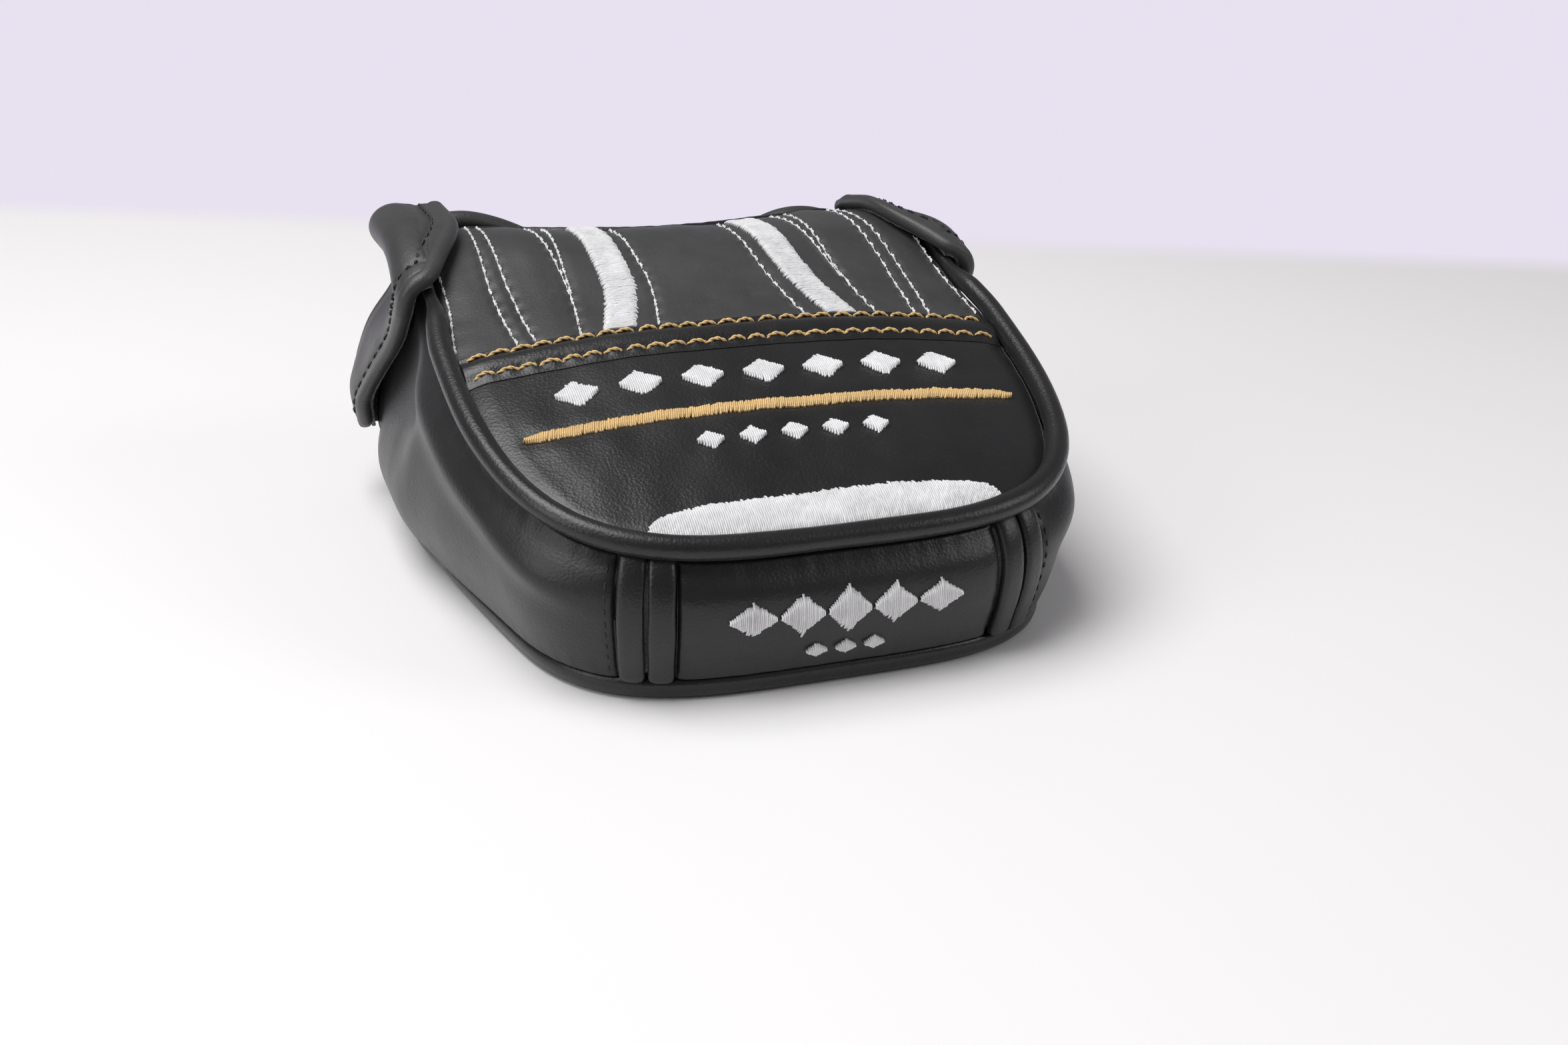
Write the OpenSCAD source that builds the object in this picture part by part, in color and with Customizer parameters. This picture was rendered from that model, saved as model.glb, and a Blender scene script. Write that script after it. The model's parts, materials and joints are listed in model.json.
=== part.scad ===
// Magnetic-wing putter head cover for a mallet head.
// A padded D-shaped shell, a fold-down face flap and two side wings.
// The cover lies sole down, rounded rear towards -Y, mouth towards +Y, +Z up, millimetres.

/* [Outline] */
// Half width of the top, to the middle of the welt
half_w = 57; // [50:1:64]
// Distance from the widest station to the rounded rear
rear_d = 73; // [68:1:84]
// Distance from the widest station to the mouth
mouth_y = 41.5; // [38:0.5:46]
// Squareness of the rounded rear: 2 is an ellipse, larger is squarer
corner_n = 3.7; // [2.6:0.1:4]
// How far each side of the top draws in where the wings lap it
neck_in = 1.6; // [1:0.1:2]

/* [Heights] */
// Height of the seam line at the rear
rear_h = 27; // [24:1:32]
// Height of the seam line where the wing hem crosses it
side_h = 51.5; // [47:0.5:55]
// Station where the top starts to roll down to the mouth
roll_y = 14; // [10:1:18]
// Sharpness of that roll
roll_c = 0.012; // [0.01:0.0005:0.014]
// Height of the seam between side wall and sole
seam_z = 4.2; // [4:0.1:5]
// Crown of the padded rear half of the top
crown_rear = 4.5; // [3:0.5:6]
// Crown of the middle of the top at the mouth
crown_front = 1; // [0:0.5:2]
// Extra rise of the two shoulders beside it
shoulder = 5; // [3:0.5:6]

/* [Walls] */
// Thickness of the outer leather
skin_t = 1.4; // [1:0.1:1.6]
// Thickness of the padding foam
foam_t = 3; // [2:0.5:4]
// Thickness of the plush lining
lining_t = 1.2; // [0.8:0.1:1.4]
// Air left between layers
gap = 0.2; // [0.05:0.05:0.25]
// Outward bulge of the padded walls at mid height
bulge = 3.2; // [2:0.2:4]
// Outward lean of the side walls at the sole seam; negative tucks in
side_flare = -3; // [-5:0.5:4]
// Inward tuck of the rear wall at the sole seam; negative leans out
rear_tuck = -1; // [-2:0.5:2]
// Step of the side wall outside the welt under the wings
front_step = 2.2; // [2:0.1:2.6]

/* [Trim] */
// Radius of the welt
welt_r = 2.2; // [1.8:0.1:2.4]
// Radius of the welt where it is pressed flat under the wings
welt_front_r = 1.2; // [1.1:0.1:1.4]
// Station of the joint between the two top panels
joint_y = -19; // [-24:1:-16]
// Width of the strip that covers the joint
band_w = 8.8; // [8:0.2:11]
// Distance between the two rows of gold thread
row_gap = 5.6; // [5:0.2:7]
// Length of one gold stitch and its gap
gold_pitch = 4; // [3:0.5:6]
// Length of one white stitch and its gap
white_pitch = 4; // [3:0.5:6]
// Width of each embroidered stripe
stripe_w = 6.6; // [5:0.2:8]
// Height of raised embroidery
thread_t = 0.6; // [0.4:0.1:0.8]

/* [Flap and wings] */
// Inner face of the flap
flap_y = 45.3; // [45:0.1:46]
// Height of the flap's fold line
fold_z = 5; // [4.6:0.1:5.4]
// Half width of the flap
flap_hw = 61.4; // [60:0.1:62]
// Depth of the dip in the flap's top edge
flap_dip = 15; // [8:1:18]
// Inner face of each wing
wing_x = 58.2; // [58:0.1:58.6]
// Radius of the rolled hems
hem_r = 2; // [1.8:0.1:2.2]
// Station where the wing hem crosses the welt
wing_back_y = 4.5; // [4:0.5:6]
// Station of the wing hem at its lower corner
wing_low_y = 40; // [30:0.5:41]
// Height of the wing's lower corner
wing_low_z = 14; // [8:1:18]
// Distance of the ear's edge from the middle of the cover
ear_x = 46; // [45:0.5:50]
// Radius of the magnets
magnet_r = 5; // [4:0.5:6]

/* [Hidden] */
wing_nodes = ["cover", "interlining", "lining", "hem", "magnet"];

// Depths of each layer's outer face below the outside
foam_d = skin_t + gap;
lining_gap = 0.8;
lining_d = foam_d + foam_t + lining_gap;
wall_t = lining_d + lining_t;
// Depth of the padding under the wings, where a magnet lies behind it
thin_foam_d = foam_d + 1.3;
magnet_t = 1.2;
// Drop of the top edge of the side wall's leather, foam and lining below the seam line
skin_drop = 1.2;
foam_drop = skin_t + skin_drop;
lining_drop = lining_d + 1.3;
// Clearance between bodies
clear = 0.3;
// Fraction of the outline, measured from the rear, that is curved
arc = 0.74;
// Stations of the strips along the outline, 0 at the rear and 1 at the mouth
strip_s = [0.188, 0.212, 0.217, 0.241];
seam_gap = 0.003;
// Layers of a wing, measured out from its inner face
wing_lining_t = 0.9;
wing_mid_t = 0.9;
wing_skin_t = 1.5;
wing_skin_o = wing_lining_t + wing_mid_t + 2 * gap;
wing_hem_o = 2.2;
wing_corner = 3;
wing_front_y = flap_y - clear;
// Shares of a wing's profile: wall, corner, ear
wing_a = 0.62;
wing_b = 0.8;
// Layers of the flap
flap_lining_t = 1;
flap_board_t = 1.6;
flap_skin_t = 1.7;
flap_bulge = 1.1;
flap_skin_y = flap_y + flap_lining_t + flap_board_t + 2 * gap;
front_y = flap_skin_y + flap_skin_t + flap_bulge;
// Depth and half width of the scoop in the top's front edge
scoop = 8;
scoop_hw = 36;
// Air between raised embroidery and the leather below it
thread_lift = 0.06;
// The origin is under the middle of the cover's box
shift_y = (rear_d + rear_bulge_max() + thread_lift + thread_t - front_y) / 2;

// ---- curves and surfaces ----
function smooth(a, b, x) = let (t = min(1, max(0, (x - a) / (b - a)))) t * t * (3 - 2 * t);
function mix(a, b, t) = a + (b - a) * t;
function total(v, i = 0) = i >= len(v) ? 0 : v[i] + total(v, i + 1);

function neck(y) = neck_in * smooth(-14, 4, y);
function half_x(y) = half_w * pow(max(0, 1 - pow(max(0, -y) / rear_d, corner_n)), 1 / corner_n) - neck(y);
// Half width, at station y, of an outline drawn in by inset
function inset_x(y, inset) =
    (half_w - inset) * pow(max(0, 1 - pow(max(0, -y) / (rear_d - inset), corner_n)), 1 / corner_n) - neck(y);
// Rearmost row of a layer of the top
function rear_row(inset) = -(rear_d - inset) * 0.9985;
function polar_r(p) =
    pow(pow(abs(cos(p)) / half_w, corner_n) + pow(abs(sin(p)) / rear_d, corner_n), -1 / corner_n);
// Plan of the seam: s runs from -1, left of the mouth, round the rear at 0, to 1, right of the mouth
function rim(s) =
    abs(s) <= arc
    ? let (p = 90 * (1 - abs(s) / arc), r = polar_r(p), y = -r * sin(p))
        [sign(s) * (r * cos(p) - neck(y)), y]
    : let (y = mouth_y * (abs(s) - arc) / (1 - arc)) [sign(s) * (half_w - neck(y)), y];
function outward(s) =
    let (d = rim(min(1, s + 0.004)) - rim(max(-1, s - 0.004))) [d.y, -d.x] / norm(d);

slope = (side_h - rear_h) / (rear_d + 4);
function seam_h(y) = side_h + slope * (y - 4) - roll_c * pow(max(0, y - roll_y), 2);
peak_y = roll_y + slope / (2 * roll_c);
// Rise of the padded top over its seam: q is 0 at the middle and 1 at the welt
function crown(q, y) = let (
        back = crown_rear * (1 - pow(min(1, max(0, -y) / rear_d), 4)) * (1 - pow(q, 2.5)),
        front = (crown_front + shoulder * q * q) * (1 - pow(q, 6)))
    mix(back, front, smooth(-5, 40, y));
function top_z(x, y) = seam_h(y) - 1 + crown(min(1, abs(x) / max(1, half_x(y))), y);

// Side wall: t runs from the top seam at 0 to the sole seam at 1, d is the depth below the outside
function swell(s, t) =
    let (k = 1 - smooth(-12, 2.5, rim(s).y), rear = max(0, -outward(s).y),
         lean = mix(side_flare, -rear_tuck, rear))
    lean * t + k * bulge * sin(180 * pow(t, 0.75)) + (1 - k) * front_step * smooth(0, 0.12, t);
function rear_bulge_max() = max([for (t = [0.1:0.05:0.9]) swell(0, t)]);
function wall(s, t, d, top) =
    let (p = rim(s), n = outward(s), z0 = seam_h(p.y) - skin_drop, z = mix(seam_h(p.y) - top, seam_z, t),
         o = swell(s, max(0, (z0 - z) / (z0 - seam_z))) - d)
    [p.x + n.x * o, p.y + n.y * o, z];

// Front edge of the top, scooped between the ears so that the shaft can leave
function edge_y(x) = mouth_y - 0.5 - scoop * pow(max(0, 1 - pow(x / scoop_hw, 2)), 2);

// ---- solids from surfaces ----
function tri_volume(p, f) = total([for (t = f) p[t[0]] * cross(p[t[1]], p[t[2]])]);
module solid(points, faces) {
    // Triangles are turned so that every solid is right side out
    turned = tri_volume(points, [for (i = [0:1:len(faces) - 1]) faces[i]]) > 0;
    polyhedron(points, turned ? [for (f = faces) [f[2], f[1], f[0]]] : faces, convexity = 6);
}
// Closed slab between two surfaces, each a function of u and v from 0 to 1
module slab(nu, nv, low, high) {
    side = nv + 1;
    all = (nu + 1) * side;
    points = concat(
        [for (i = [0:nu]) for (j = [0:nv]) high(i / nu, j / nv)],
        [for (i = [0:nu]) for (j = [0:nv]) low(i / nu, j / nv)]);
    faces = concat(
        [for (i = [0:nu - 1]) for (j = [0:nv - 1]) let (p = i * side + j, q = p + side)
            each [[p, p + 1, q + 1], [p, q + 1, q]]],
        [for (i = [0:nu - 1]) for (j = [0:nv - 1]) let (p = all + i * side + j, q = p + side)
            each [[p, q + 1, p + 1], [p, q, q + 1]]],
        [for (i = [0:nu - 1]) let (p = i * side, q = p + side)
            each [[p, q, q + all], [p, q + all, p + all]]],
        [for (i = [0:nu - 1]) let (p = i * side + nv, q = p + side)
            each [[p, q + all, q], [p, p + all, q + all]]],
        [for (j = [0:nv - 1]) each [[j, j + all + 1, j + 1], [j, j + all, j + all + 1]]],
        [for (j = [0:nv - 1]) let (p = nu * side + j)
            each [[p, p + 1, p + 1 + all], [p, p + 1 + all, p + all]]]);
    solid(points, faces);
}
// Round or oval bar along a path; across is a direction that lies across the path
module bar(n, k, path, ru, rv, across) {
    rings = [for (i = [0:n]) let (q = i / n, c = path(q),
            t = path(min(1, q + 0.002)) - path(max(0, q - 0.002)),
            u0 = across(q), w = cross(t, u0), v = w / norm(w), u = cross(v, t) / norm(cross(v, t)))
        [for (j = [0:k - 1]) let (a = 360 * j / k) c + u * ru(q) * cos(a) + v * rv(q) * sin(a)]];
    points = [for (r = rings) each r];
    faces = concat(
        [for (i = [0:n - 1]) for (j = [0:k - 1]) let (p = i * k + j, q = i * k + (j + 1) % k)
            each [[p, q, q + k], [p, q + k, p + k]]],
        [for (j = [1:k - 2]) [0, j + 1, j]],
        [for (j = [1:k - 2]) [n * k, n * k + j, n * k + j + 1]]);
    solid(points, faces);
}
// Hollow bar of round section
module pipe(n, k, path, ro, ri, across) {
    function ring(q, r) = let (c = path(q),
            t = path(min(1, q + 0.002)) - path(max(0, q - 0.002)),
            w = cross(t, across(q)), v = w / norm(w), u = cross(v, t) / norm(cross(v, t)))
        [for (j = [0:k - 1]) let (a = 360 * j / k) c + (u * cos(a) + v * sin(a)) * r(q)];
    all = (n + 1) * k;
    points = concat([for (i = [0:n]) each ring(i / n, ro)], [for (i = [0:n]) each ring(i / n, ri)]);
    faces = concat(
        [for (i = [0:n - 1]) for (j = [0:k - 1]) let (p = i * k + j, q = i * k + (j + 1) % k)
            each [[p, q, q + k], [p, q + k, p + k],
                  [all + p, all + q + k, all + q], [all + p, all + p + k, all + q + k]]],
        [for (j = [0:k - 1]) let (q = (j + 1) % k, e = n * k)
            each [[j, all + q, q], [j, all + j, all + q],
                  [e + j, e + q, e + all + q], [e + j, e + all + q, e + all + j]]]);
    solid(points, faces);
}
// Leather, foam or lining of the side wall between two stations of the outline
module wall_part(s0, s1, n, m, d0, d1, top) {
    slab(n, m, function (u, v) wall(mix(s0, s1, u), v, d1(mix(s0, s1, u)), top),
        function (u, v) wall(mix(s0, s1, u), v, d0, top));
}
// A layer of the top between two stations: z0 and z1 are depths below the surface
module top_part(y0, y1, nu, nv, inset, z0, z1) {
    function at(u, v, dz) =
        let (q = 2 * u - 1, y = mix(y0, y1(q * (half_w - 6)), v), x = q * inset_x(y, inset))
        [x, y, top_z(x, y) - dz];
    slab(nu, nv, function (u, v) at(u, v, z1), function (u, v) at(u, v, z0));
}
module both_sides(side) {
    mirror([side == "left" ? 1 : 0, 0, 0]) children();
}
module place() {
    translate([0, shift_y, 0]) children();
}

// ---- top ----
leather_black = [0.03, 0.03, 0.035];
leather_grey = [0.2, 0.2, 0.21];
foam_grey = [0.35, 0.35, 0.36];
plush_grey = [0.25, 0.25, 0.27];
thread_white = [0.88, 0.88, 0.9];
thread_gold = [0.78, 0.6, 0.3];
steel = [0.7, 0.7, 0.72];
board_brown = [0.55, 0.5, 0.42];
across_up = function (q) [0, 0, 1];

skin_inset = foam_d + gap;
foam_inset = lining_d + gap;
lining_inset = wall_t + gap;

module top_front_panel() {
    color(leather_grey) place()
        top_part(joint_y + gap, function (x) edge_y(x), 24, 16, skin_inset, 0, skin_t);
}
module top_rear_panel() {
    color(leather_black) place()
        top_part(rear_row(skin_inset), function (x) joint_y - gap, 24, 14, skin_inset, 0, skin_t);
}
module top_foam() {
    color(foam_grey) place()
        top_part(rear_row(foam_inset), function (x) edge_y(x), 20, 12, foam_inset, foam_d, foam_d + foam_t);
}
module top_lining() {
    color(plush_grey) place()
        top_part(rear_row(lining_inset), function (x) edge_y(x), 20, 12, lining_inset, lining_d, wall_t);
}
band_lift = gap + 0.05;
band_t = 0.9;
module band_strip() {
    color(leather_black) place()
        top_part(joint_y - band_w / 2, function (x) joint_y + band_w / 2, 24, 3, welt_r + 0.5,
            -band_lift - band_t, -band_lift);
}
// One stitch: a short six-sided bar laid on a surface between two points
module stitch(a, b, r) {
    d = b - a;
    translate(a) rotate([0, acos(d.z / norm(d)), atan2(d.y, d.x)]) cylinder(h = norm(d), r = r, $fn = 6);
}
module stitch_row(n, at, fill, r) {
    for (i = [0:n - 1]) stitch(at((i + 0.5 - fill / 2) / n), at((i + 0.5 + fill / 2) / n), r);
}
module band_stitching() {
    reach = half_w - 8;
    thread_r = 0.4;
    lift = band_lift + band_t + thread_r + 0.15;
    color(thread_gold) place() for (k = [-1, 1])
        stitch_row(floor(2 * reach / gold_pitch),
            function (q) let (x = (2 * q - 1) * reach, y = joint_y + k * row_gap / 2)
                [x, y, top_z(x, y) + lift],
            0.8, thread_r);
}
// Plan of each white row: x at the joint, x at the kink, x at the crest
row_ends = [[42.6, 44, 42.5], [39.2, 40.5, 40], [30.6, 28.7, 29.5], [15.2, 12.4, 12.2]];
kink_v = 0.28;
row_y0 = joint_y + band_w / 2 + 1.5;
// Each row stops at the crest, just short of the top's front edge
crest_y = 38;
function row_end(e) = min(crest_y, edge_y(e[2]) - 1.5);
function row_point(e, q) =
    [q < kink_v ? mix(e[0], e[1], q / kink_v) : mix(e[1], e[2], (q - kink_v) / (1 - kink_v)),
     mix(row_y0, row_end(e), q)];
module top_stitching() {
    thread_r = 0.35;
    color(thread_white) place() for (k = [-1, 1]) for (e = row_ends)
        stitch_row(floor((row_end(e) - row_y0) / white_pitch),
            function (q) let (p = row_point(e, q)) [k * p.x, p.y, top_z(p.x, p.y) + thread_r + gap],
            0.72, thread_r);
}
// Raised embroidery on the top between two edges
module embroidery(nu, nv, plan) {
    function at(u, v, dz) = let (p = plan(u, v)) [p.x, p.y, top_z(p.x, p.y) + dz];
    slab(nu, nv, function (u, v) at(u, v, thread_lift), function (u, v) at(u, v, thread_lift + thread_t));
}
stripe_line = [23, 18.6, 18];
module stripe(side) {
    color(thread_white) place() both_sides(side)
        embroidery(2, 12, function (u, v) row_point(stripe_line, v) + [(u - 0.5) * stripe_w, 0]);
}
module stripe_left() { stripe("left"); }
module stripe_right() { stripe("right"); }
bar_y = -40.5;
bar_hw = 48;
bar_w = 1.9;
// Width of a shape w wide at its middle that closes at its ends, q = -1 and 1
function closing(q, w, power) = w * pow(1 - pow(abs(q), power), 0.5) + 0.15;
module gold_bar() {
    color(thread_gold) place()
        embroidery(24, 2, function (u, v) let (q = 2 * u - 1)
            [q * bar_hw, bar_y + (v - 0.5) * closing(q, bar_w, 6)]);
}
crescent_hw = 33;
crescent_w = 7;
// Distance of the crescent's lower edge from the rim
crescent_in = 3.2;
function rear_rim(x) = -rear_d * pow(1 - pow(abs(x) / half_w, corner_n), 1 / corner_n);
module rear_crescent() {
    color(thread_white) place()
        embroidery(20, 2, function (u, v) let (q = 2 * u - 1)
            [q * crescent_hw, rear_rim(q * crescent_hw) + crescent_in + v * closing(q, crescent_w, 5)]);
}
// Two rows of plain lozenges, each row given by its station, pitch and lozenge size
motif_rows = [[-31, 12, 8, 7, 3], [-48, 8, 5, 4.6, 2]];
point_cut = 0.86;
function lozenge(u, v) = [(u - 0.5) * (1 - abs(2 * v - 1) * point_cut), v - 0.5];
module top_motif() {
    color(thread_white) place() for (r = motif_rows) for (i = [-r[4]:r[4]])
        embroidery(2, 4, function (u, v) let (p = lozenge(u, v)) [i * r[1] + p.x * r[2], r[0] + p.y * r[3]]);
}
// Depth of the welt's under side below the seam line
welt_top = 0.9;
function welt_radius(y) = mix(welt_r, welt_front_r, smooth(-6, 6, y));
welt_path = function (q) let (s = 2 * q - 1, p = rim(s)) [p.x, p.y, seam_h(p.y) - welt_top + welt_radius(p.y)];
welt_y = function (q) rim(2 * q - 1).y;
welt_t = 0.7;
module top_welt() {
    outer = function (q) welt_radius(welt_y(q));
    color(leather_black) place()
        pipe(56, 8, welt_path, outer, function (q) outer(q) - welt_t, across_up);
}
module top_welt_cord() {
    cord_r = function (q) welt_radius(welt_y(q)) - welt_t - 0.15;
    color("white") place() bar(56, 6, welt_path, cord_r, cord_r, across_up);
}

// ---- side wall ----
skin_in = function (s) skin_t;
foam_in = function (s) mix(foam_d + foam_t, thin_foam_d, smooth(6, 12, rim(s).y));
lining_in = function (s) wall_t;
module gusset(side) {
    color(leather_grey) place() both_sides(side)
        wall_part(strip_s[3] + seam_gap, 1, 26, 7, 0, skin_in, skin_drop);
}
module gusset_left() { gusset("left"); }
module gusset_right() { gusset("right"); }
module rear_panel() {
    color(leather_black) place()
        wall_part(-strip_s[0] + seam_gap, strip_s[0] - seam_gap, 16, 7, 0, skin_in, skin_drop);
}
strip_rise = 1;
module strip(side, s0, s1) {
    color(leather_black) place() both_sides(side)
        wall_part(s0, s1, 2, 7, -strip_rise, skin_in, skin_drop);
}
module strip_left_outer() { strip("left", strip_s[2], strip_s[3]); }
module strip_left_inner() { strip("left", strip_s[0], strip_s[1]); }
module strip_right_inner() { strip("right", strip_s[0], strip_s[1]); }
module strip_right_outer() { strip("right", strip_s[2], strip_s[3]); }
// Plain lozenges on the rear wall: a large row over a small one
module rear_motif() {
    module patch(s0, t0, ws, ht) {
        function at(u, v, lift) = let (p = lozenge(u, v)) wall(s0 + p.x * ws, t0 + p.y * ht, -lift, skin_drop);
        slab(2, 4, function (u, v) at(u, v, thread_lift), function (u, v) at(u, v, thread_lift + thread_t));
    }
    color(thread_white) place() {
        for (i = [-2:2]) patch(i * 0.055, 0.45, 0.05, 0.4 - 0.06 * abs(i));
        for (i = [-1:1]) patch(i * 0.035, 0.8, 0.024, 0.13);
    }
}
module gusset_foam(side) {
    color(foam_grey) place() both_sides(side)
        wall_part(strip_s[0], 1, 22, 5, foam_d, foam_in, foam_drop);
}
module gusset_foam_left() { gusset_foam("left"); }
module gusset_foam_right() { gusset_foam("right"); }
module rear_foam() {
    color(foam_grey) place()
        wall_part(-strip_s[0] + seam_gap, strip_s[0] - seam_gap, 16, 5, foam_d, foam_in, foam_drop);
}
module gusset_lining(side) {
    color(plush_grey) place() both_sides(side)
        wall_part(strip_s[0], 1, 22, 4, lining_d, lining_in, lining_drop);
}
module gusset_lining_left() { gusset_lining("left"); }
module gusset_lining_right() { gusset_lining("right"); }
module rear_lining() {
    color(plush_grey) place()
        wall_part(-strip_s[0] + seam_gap, strip_s[0] - seam_gap, 16, 5, lining_d, lining_in, lining_drop);
}
magnet_y = 35.5;
magnet_z = 33;
module gusset_magnet(side) {
    // The magnet is midway between the thinned padding and the lining
    middle = wall(1, (seam_h(magnet_y) - magnet_z) / (seam_h(magnet_y) - seam_z),
                  (thin_foam_d + lining_d) / 2, 0).x;
    color(steel) place() both_sides(side)
        translate([middle - magnet_t / 2, magnet_y, magnet_z]) rotate([0, 90, 0])
            cylinder(h = magnet_t, r = magnet_r, $fn = 48);
}
module gusset_magnet_left() { gusset_magnet("left"); }
module gusset_magnet_right() { gusset_magnet("right"); }

// ---- sole ----
module sole_outline(d) {
    polygon([for (i = [-32:32]) let (p = wall(i / 32, 1, d, skin_drop)) [p.x, p.y]]);
}
sole_t = 1.6;
// Height of the sole's foot, and insets of the foot, the turned-up edge and the board within it
foot_h = 1.2;
foot_in = 2.5;
edge_in = 0.6;
board_in = edge_in + 1.8;
module sole_panel() {
    lip_z = seam_z - gap;
    color(leather_black) place() difference() {
        union() {
            linear_extrude(foot_h) sole_outline(foot_in);
            translate([0, 0, foot_h]) linear_extrude(lip_z - foot_h) sole_outline(edge_in);
        }
        translate([0, 0, sole_t]) linear_extrude(lip_z) sole_outline(board_in);
    }
}
module sole_board() {
    color(board_brown) place()
        translate([0, 0, sole_t + gap]) linear_extrude(seam_z - sole_t - 3 * gap) sole_outline(board_in + 0.2);
}
module sole_lining() {
    color(plush_grey) place() translate([0, 0, seam_z]) linear_extrude(1.1) sole_outline(wall_t + 0.2);
}

// ---- mouth ----
binding_y = mouth_y + 1.4;
binding_r = 1.2;
// Shares of the binding's half length, from the middle: top edge, corner, side
bind_a = 0.6;
bind_b = 0.72;
binding_path = function (q)
    let (k = q < 0.5 ? -1 : 1, a = abs(2 * q - 1), side_x = half_w - neck_in + front_step - wall_t / 2,
         r = 4.5, top_end = side_x - r, zc = seam_h(mouth_y) - skin_drop - wall_t / 2 - r + 0.6)
    a > bind_b
    ? let (t = (a - bind_b) / (1 - bind_b)) [k * (side_x + side_flare * t), binding_y, mix(zc, seam_z + 2.5, t)]
    : a > bind_a
    ? let (g = 90 * (bind_b - a) / (bind_b - bind_a)) [k * (top_end + r * cos(g)), binding_y, zc + r * sin(g)]
    : let (x = k * top_end * a / bind_a, y = edge_y(x), m = smooth(bind_a - 0.1, bind_a, a))
        [x, mix(y + binding_r + 0.6, binding_y, m), mix(top_z(x, y) - wall_t / 2, zc + r, m)];
module mouth_binding() {
    color(leather_black) place()
        bar(56, 10, binding_path, function (q) binding_r, function (q) wall_t / 2 + gap,
            function (q) [0, 1, 0]);
}
module hinge_strip() {
    hw = 50;
    y0 = mouth_y + 0.2;
    color(leather_black) place()
        translate([-hw, y0, 0.8]) cube([2 * hw, flap_y + 1 - y0, fold_z - 1.1]);
}

// ---- flap ----
ear_top = ear_floor(peak_y);
flap_high = ear_top + wing_skin_o + wing_skin_t - hem_r * 2;
dip_hw = 42;
// Air between the layers of a flap or wing and the hem rolled round their edge
hem_clear = 0.8;
function flap_edge(x) = flap_high - flap_dip * pow(max(0, 1 - pow(x / dip_hw, 2)), 2);
function flap_swell(x, v) = flap_bulge * (1 - pow(abs(x) / flap_hw, 4)) * sin(180 * v);
module flap_layer(y0, t, nu, nv, puff0, puff1) {
    function at(u, v, y, k) = let (x = (2 * u - 1) * flap_hw)
        [x, y + k * flap_swell(x, v), mix(fold_z + clear, flap_edge(x) - hem_clear, v)];
    place() slab(nu, nv, function (u, v) at(u, v, y0, puff0), function (u, v) at(u, v, y0 + t, puff1));
}
module flap_lining() { color(plush_grey) flap_layer(flap_y, flap_lining_t, 20, 2, 0, 0); }
module flap_board() {
    color(board_brown) flap_layer(flap_y + flap_lining_t + gap, flap_board_t, 20, 2, 0, 0);
}
module flap_cover() { color(leather_black) flap_layer(flap_skin_y, flap_skin_t, 24, 8, 0, 1); }
module flap_hem() {
    path = function (q) let (x = (2 * q - 1) * (flap_hw - 0.3))
        [x, flap_y + hem_r + 0.3, flap_edge(x) + hem_r + gap];
    color(leather_black) place() bar(40, 8, path, function (q) hem_r, function (q) hem_r, across_up);
}

// ---- wings ----
// Under side of the ear, clear of the welt below it
function ear_floor(y) = let (p = min(y, peak_y))
    clear + max(seam_h(p) - welt_top + 2 * welt_radius(p), top_z(ear_edge(p), p), top_z(ear_x, p));
// Profile of a wing at station y: w runs from its lower corner up the side, round the corner and in over the top
function wing_at(w, y, o, edge) =
    let (zf = ear_floor(y), zc = zf - wing_corner, xc = wing_x - wing_corner, r = wing_corner + o)
    w <= wing_a ? [wing_x + o, y, mix(wing_low_z, zc, w / wing_a)]
    : w <= wing_b ? let (g = 90 * (w - wing_a) / (wing_b - wing_a)) [xc + r * cos(g), y, zc + r * sin(g)]
    : [mix(xc, edge, (w - wing_b) / (1 - wing_b)), y, zf + o];
// Rear edge of the wing, and inner edge of its ear
function wing_back(w) = mix(wing_low_y, wing_back_y, 1 - pow(1 - min(1, w / wing_a), 1.1));
function ear_edge(y) =
    mix(wing_x - wing_corner - 0.5, ear_x, smooth(wing_back_y - 3, wing_back_y + 24, y));
// Further air beside the hem where it turns in over the top
ear_clear = 3.5;
module wing_layer(side, o0, o1, w0, nu, nv) {
    inset = hem_r + hem_clear;
    function at(u, v, o) = let (w = mix(w0, 1, u),
            y = mix(wing_back(w) + inset + ear_clear * smooth(wing_a, wing_b, w), wing_front_y, v))
        wing_at(w, y, o, min(wing_x - wing_corner - 0.4, ear_edge(y) + inset));
    place() both_sides(side) slab(nu, nv, function (u, v) at(u, v, o0), function (u, v) at(u, v, o1));
}
wing_hem_path = function (q) q < 0.6
    ? let (w = mix(0.02, wing_b, q / 0.6)) wing_at(w, wing_back(w), wing_hem_o, 0)
    : let (y = mix(wing_back_y, wing_front_y - 0.1, (q - 0.6) / 0.4)) wing_at(1, y, wing_hem_o, ear_edge(y));
module wing(side, part) {
    if (part == "cover")
        color(leather_black) wing_layer(side, wing_skin_o, wing_skin_o + wing_skin_t, 0, 22, 10);
    if (part == "interlining")
        color(foam_grey) wing_layer(side, wing_lining_t + gap, wing_lining_t + gap + wing_mid_t, 0.42, 14, 8);
    if (part == "lining")
        color(plush_grey) wing_layer(side, 0, wing_lining_t, 0, 18, 8);
    if (part == "hem")
        color(leather_black) place() both_sides(side)
            bar(40, 8, wing_hem_path, function (q) hem_r, function (q) hem_r,
                function (q) q < 0.3 ? [1, 0, 0] : q < 0.62 ? [1, 0, 1] : [0, 0, 1]);
    if (part == "magnet")
        color(steel) place() both_sides(side) translate([wing_x + wing_lining_t + gap, magnet_y, magnet_z])
            rotate([0, 90, 0]) cylinder(h = wing_mid_t, r = magnet_r, $fn = 48);
}

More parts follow.
